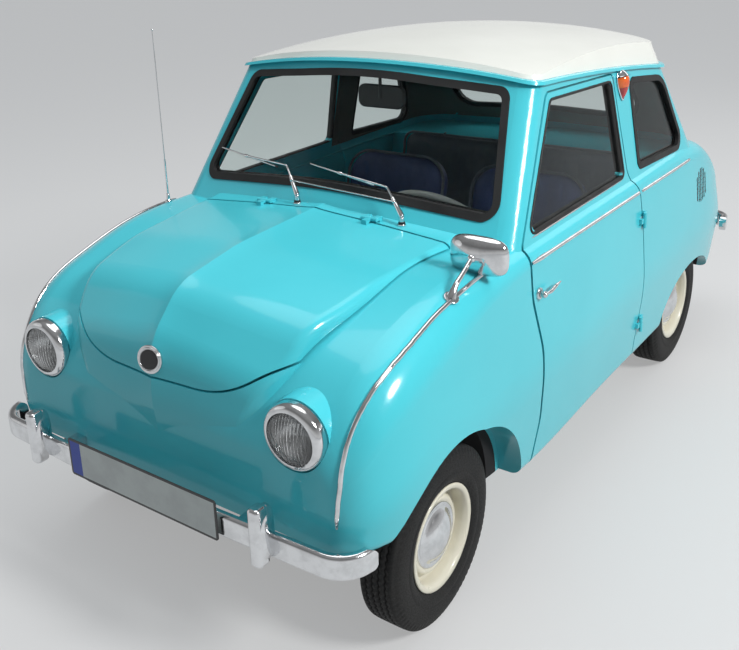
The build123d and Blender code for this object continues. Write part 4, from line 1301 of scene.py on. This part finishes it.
def makeAerial():
    low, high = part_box("antenna")
    middle = (low + high) / 2
    up = Vector((0, 0, 1))
    spot, normal = bodySkin.ray_cast(Vector((middle.x, middle.y, 1.3)), -up)[:2]
    bm = bmesh.new()
    radius, tip, depth, edge = aerialSet["seat"]
    addDisc(bm, radius, depth, facing(spot + normal * aerialSet["seatLift"], normal), bevel=edge, tip=tip)
    radius, tip, depth, edge = aerialSet["socket"]
    addDisc(bm, radius, depth, facing(spot + up * aerialSet["socketLift"], up), bevel=edge, tip=tip)
    addRod(bm, [spot + up * height for height in aerialSet["footSpan"]], aerialSet["foot"])
    addRod(bm, [spot + up * aerialSet["whipFrom"], Vector((spot.x, spot.y, high.z - 0.004))],
           aerialSet["whip"])
    addBall(bm, (spot.x, spot.y, high.z - aerialSet["ball"]), aerialSet["ball"], 16, 10)
    finishPiece(bm, "aerial", "chrome", "body", replaced=("antenna",))


# Door handles: round plate with a raised rim, and a lever that narrows to the rear
handleSet = {
    "y": (-0.512, -0.420), "z": 0.750, "plate": 0.0165, "plateDepth": 0.006, "plateOut": 0.002,
    "rim": 0.0135, "rimRod": 0.0026, "rimOut": 0.005, "boss": 0.0085, "bossDepth": 0.018, "bossOut": 0.010,
    "knob": 0.0095, "knobOut": 0.017, "lever": 0.0062, "leverShares": (0.8, 0.75, 1.0, 1.15, 1.0, 0.35),
    # the lever's course: steps outwards, rearwards and up, two from the root and two from the tail
    "rootSteps": ((0.016, 0, 0), (0.021, 0.025, -0.003)),
    "tailSteps": ((0.016, -0.030, -0.001), (0.021, 0.004, 0.006)),
}


def makeHandles():
    for word, side in sides:
        out = Vector((side, 0, 0))
        root, tail = [skinHit(doorSkin[word], side, y, handleSet["z"]) for y in handleSet["y"]]
        bm = bmesh.new()
        addDisc(bm, handleSet["plate"], handleSet["plateDepth"],
                facing(root + out * handleSet["plateOut"], out), bevel=0.002)
        addRod(bm, ringRoute(facing(root + out * handleSet["rimOut"], out), handleSet["rim"], 36),
               handleSet["rimRod"], closed=True)
        addDisc(bm, handleSet["boss"], handleSet["bossDepth"], facing(root + out * handleSet["bossOut"], out),
                bevel=0.003)
        addBall(bm, root + out * handleSet["knobOut"], handleSet["knob"])
        route = [start + Vector((side * x, y, z))
                 for start, steps in ((root, handleSet["rootSteps"]), (tail, handleSet["tailSteps"]))
                 for x, y, z in steps]
        addRod(bm, smoothRoute(route, 12), handleSet["lever"], shares=handleSet["leverShares"])
        finishPiece(bm, "door_lever_" + word, "chrome", "door_" + word, replaced=("door_handle_" + word,))


makeWingMirror()
makeWipers()
makeAerial()
makeHandles()
print("mirror, aerial and handles made")


# Pillar indicators: orange and red lens under a bright cap, in an upright bright frame
pillarLamp = {
    "foot": (0.5310, 0.250, 1.176), "tilt": 10.5, "half": (0.033, 0.028, 0.047),
    "narrow": 0.34, "narrowBelow": 0.3,
    # each part's finish, its two levels in the drop, its growth and the node that it replaces
    "cap": ("chrome", 0.52, 1.0, 1.03, ()), "lens": ("orange", -0.22, 0.52, 1.0, ("indicators",)),
    "tail": ("red", -1.0, -0.22, 1.0, ()),
    "frameOut": 0.004, "frameGrow": 1.04, "frameRod": 0.0024, "frameTurns": 48,
}


def dropWidth(level):
    # an upright drop's share of its width at a level from -1 to 1
    return 1 - pillarLamp["narrow"] * max(0.0, pillarLamp["narrowBelow"] - level)


def addDropPart(bm, low, high, grow, place):
    # the part of the drop between two levels, closed at both ends
    wide, long, tall = [part * grow for part in pillarLamp["half"]]
    verts = bmesh.ops.create_uvsphere(bm, u_segments=48, v_segments=32, radius=1.0)["verts"]
    for vert in verts:
        level = min(max(vert.co.z, low), high)
        share = dropWidth(level)
        vert.co = Vector((vert.co.x * wide * share, vert.co.y * long * share, level * tall))
    bmesh.ops.transform(bm, matrix=place, verts=verts)


def makePillarLamps():
    for word, side in sides:
        x, y, z = pillarLamp["foot"]
        turn = Matrix.Rotation(math.radians(-side * pillarLamp["tilt"]), 4, "Y")
        place = Matrix.Translation((side * x, y, z)) @ turn
        for name in ("cap", "lens", "tail"):
            finish, low, high, grow, replaced = pillarLamp[name]
            bm = bmesh.new()
            addDropPart(bm, low, high, grow, place)
            finishPiece(bm, "pillar_" + name + "_" + word, finish, "body", replaced=replaced)
        wide, long, tall = [part * pillarLamp["frameGrow"] for part in pillarLamp["half"]]
        route = []
        for index in range(pillarLamp["frameTurns"]):
            angle = 2 * math.pi * index / pillarLamp["frameTurns"]
            share = dropWidth(math.sin(angle))
            route.append(place @ Vector((pillarLamp["frameOut"], long * math.cos(angle) * share,
                                         tall * math.sin(angle))))
        bm = bmesh.new()
        addRod(bm, route, pillarLamp["frameRod"], closed=True)
        finishPiece(bm, "pillar_frame_" + word, "chrome", "body")


makePillarLamps()
print("pillar lamps made")


# Steering wheel: each spoke is two rods, through places as across, share of the lean and along the axis
steering = {
    "middle": (0.235, -0.345, 0.800), "axis": (0, 0.81915, 0.57358), "radius": 0.188, "grip": 0.0120,
    "spoke": ((0.020, 1.0, -0.012), (0.080, 1.0, -0.016), (0.150, 1.4, -0.010), (0.186, 1.8, 0)),
    "spokeLean": 0.012, "spokeRod": 0.0038, "boss": 0.034, "bossDepth": 0.020, "bossAt": -0.012,
    "push": 0.020, "pushDepth": 0.006, "pushAt": -0.001,
}


def makeSteeringWheel():
    place = facing(steering["middle"], steering["axis"])
    bm = bmesh.new()
    addRod(bm, ringRoute(place, steering["radius"], 96), steering["grip"], closed=True)
    for side in (1, -1):
        for lean in (-steering["spokeLean"], steering["spokeLean"]):
            route = [Vector((side * across, lean * share, along))
                     for across, share, along in steering["spoke"]]
            addRod(bm, [place @ spot for spot in smoothRoute(route)], steering["spokeRod"])
    addDisc(bm, steering["boss"], steering["bossDepth"], shifted(place, steering["bossAt"]), bevel=0.006)
    finishPiece(bm, "wheel_rim_and_spokes", "grip", "steering_wheel", replaced=("steering_wheel",))
    bm = bmesh.new()
    addDisc(bm, steering["push"], steering["pushDepth"], shifted(place, steering["pushAt"]), bevel=0.002)
    finishPiece(bm, "horn_push", "chrome", "steering_wheel")


# Dial on the dashboard: a scale with bare marks, every fourth one longer, and a pointer at its start
dial = {
    "x": 0.235, "z": 0.838, "sunk": 0.010, "lean": 0.12, "radius": 0.048, "ring": 0.054, "ringDepth": 0.030,
    "faceDepth": 0.004, "faceAt": 0.0145, "marksAt": 0.0168, "marks": 20, "scale": (225, -45),
    "markEdge": 0.045, "mark": 0.004, "longMark": 0.008, "markRod": 0.0006,
    "pointer": 0.036, "pointerRod": 0.0009, "pointerLift": 0.001,
}


def addRay(bm, place, angle, near, far, rod):
    # a thin rod out from the place's middle, between two radii
    across = Vector((math.cos(angle), math.sin(angle), 0))
    addRod(bm, [place @ (across * near), place @ (across * far)], rod)


def makeDial():
    low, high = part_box("dashboard")
    place = facing((dial["x"], high.y - dial["sunk"], dial["z"]), (0, 1, dial["lean"]))
    bm = bmesh.new()
    addDisc(bm, dial["ring"], dial["ringDepth"], place, bevel=0.004)
    finishPiece(bm, "dial_ring", "chrome", "body")
    bm = bmesh.new()
    addDisc(bm, dial["radius"], dial["faceDepth"], shifted(place, dial["faceAt"]), bevel=0.001)
    finishPiece(bm, "dial_face", "roof", "body")
    bm = bmesh.new()
    face = shifted(place, dial["marksAt"])
    first, last = [math.radians(angle) for angle in dial["scale"]]
    for index in range(dial["marks"] + 1):
        long = dial["longMark"] if index % 4 == 0 else dial["mark"]
        addRay(bm, face, first + (last - first) * index / dial["marks"], dial["markEdge"],
               dial["markEdge"] - long, dial["markRod"])
    addRay(bm, shifted(face, dial["pointerLift"]), first, 0, dial["pointer"], dial["pointerRod"])
    finishPiece(bm, "dial_marks", "dark", "body")


makeSteeringWheel()
makeDial()
print("steering wheel and dial made")


# Vents in the rear quarters: each upright slot's y, middle height and length. A black sheet of painted shade
# stands for the slots'
# dark insides: it lies just under the skin, or just over it where the slots' floor leaves no room below it
ventSlots = ((0.892, 0.684, 0.092), (0.914, 0.688, 0.116), (0.936, 0.690, 0.128),
             (0.958, 0.690, 0.126), (0.980, 0.688, 0.112), (1.002, 0.684, 0.084))
ventFit = {
    "half": 0.0056, "fill": 0.995, "wall": 0.0008, "floor": 0.6125, "sunk": 0.0002, "proud": 0.0006,
    "step": 0.006, "beside": 0.011, "rungs": 3, "rungGap": 0.017, "rungDepth": 0.0020, "rungHeight": 0.0030,
    "rungOut": 0.0002, "rungEdge": 0.004,
}


def ventFace(side, y, z):
    # how far out the black sheet of painted shade lies, from the skin beside the slot
    reach = abs(skinHit(bodySkin, side, y + ventFit["beside"], z).x)
    sunk = reach - ventFit["sunk"]
    return side * (sunk if sunk > ventFit["floor"] else reach + ventFit["proud"])


def makeVentShadeSheets():
    half = ventFit["half"]
    for word, side in sides:
        bm = bmesh.new()
        for y, middle, length in ventSlots:
            steps = math.ceil(length / ventFit["step"])
            heights = [middle + length * (step / steps - 0.5) * ventFit["fill"] for step in range(steps + 1)]
            rows = [[bm.verts.new((ventFace(side, y, z), y + edge, z)) for edge in (-half, half)]
                    for z in heights]
            faces = [bm.faces.new((low[0], low[1], high[1], high[0])) for low, high in zip(rows, rows[1:])]
            bmesh.ops.recalc_face_normals(bm, faces=faces)
            bmesh.ops.solidify(bm, geom=faces, thickness=ventFit["wall"])
            for rung in range(-ventFit["rungs"], ventFit["rungs"] + 1):
                z = middle + rung * ventFit["rungGap"]
                if abs(z - middle) < length / 2 - ventFit["rungEdge"]:
                    addBlock(bm, (ventFit["rungDepth"], 2 * half, ventFit["rungHeight"]),
                             (ventFace(side, y, z) + side * ventFit["rungOut"], y, z))
        # the sheet and its rungs are painted shade, black where the slots' insides lie in shade
        finishPiece(bm, "vent_shade_sheet_" + word, "seal", "body", shade=False)


makeVentShadeSheets()
print("vents made")
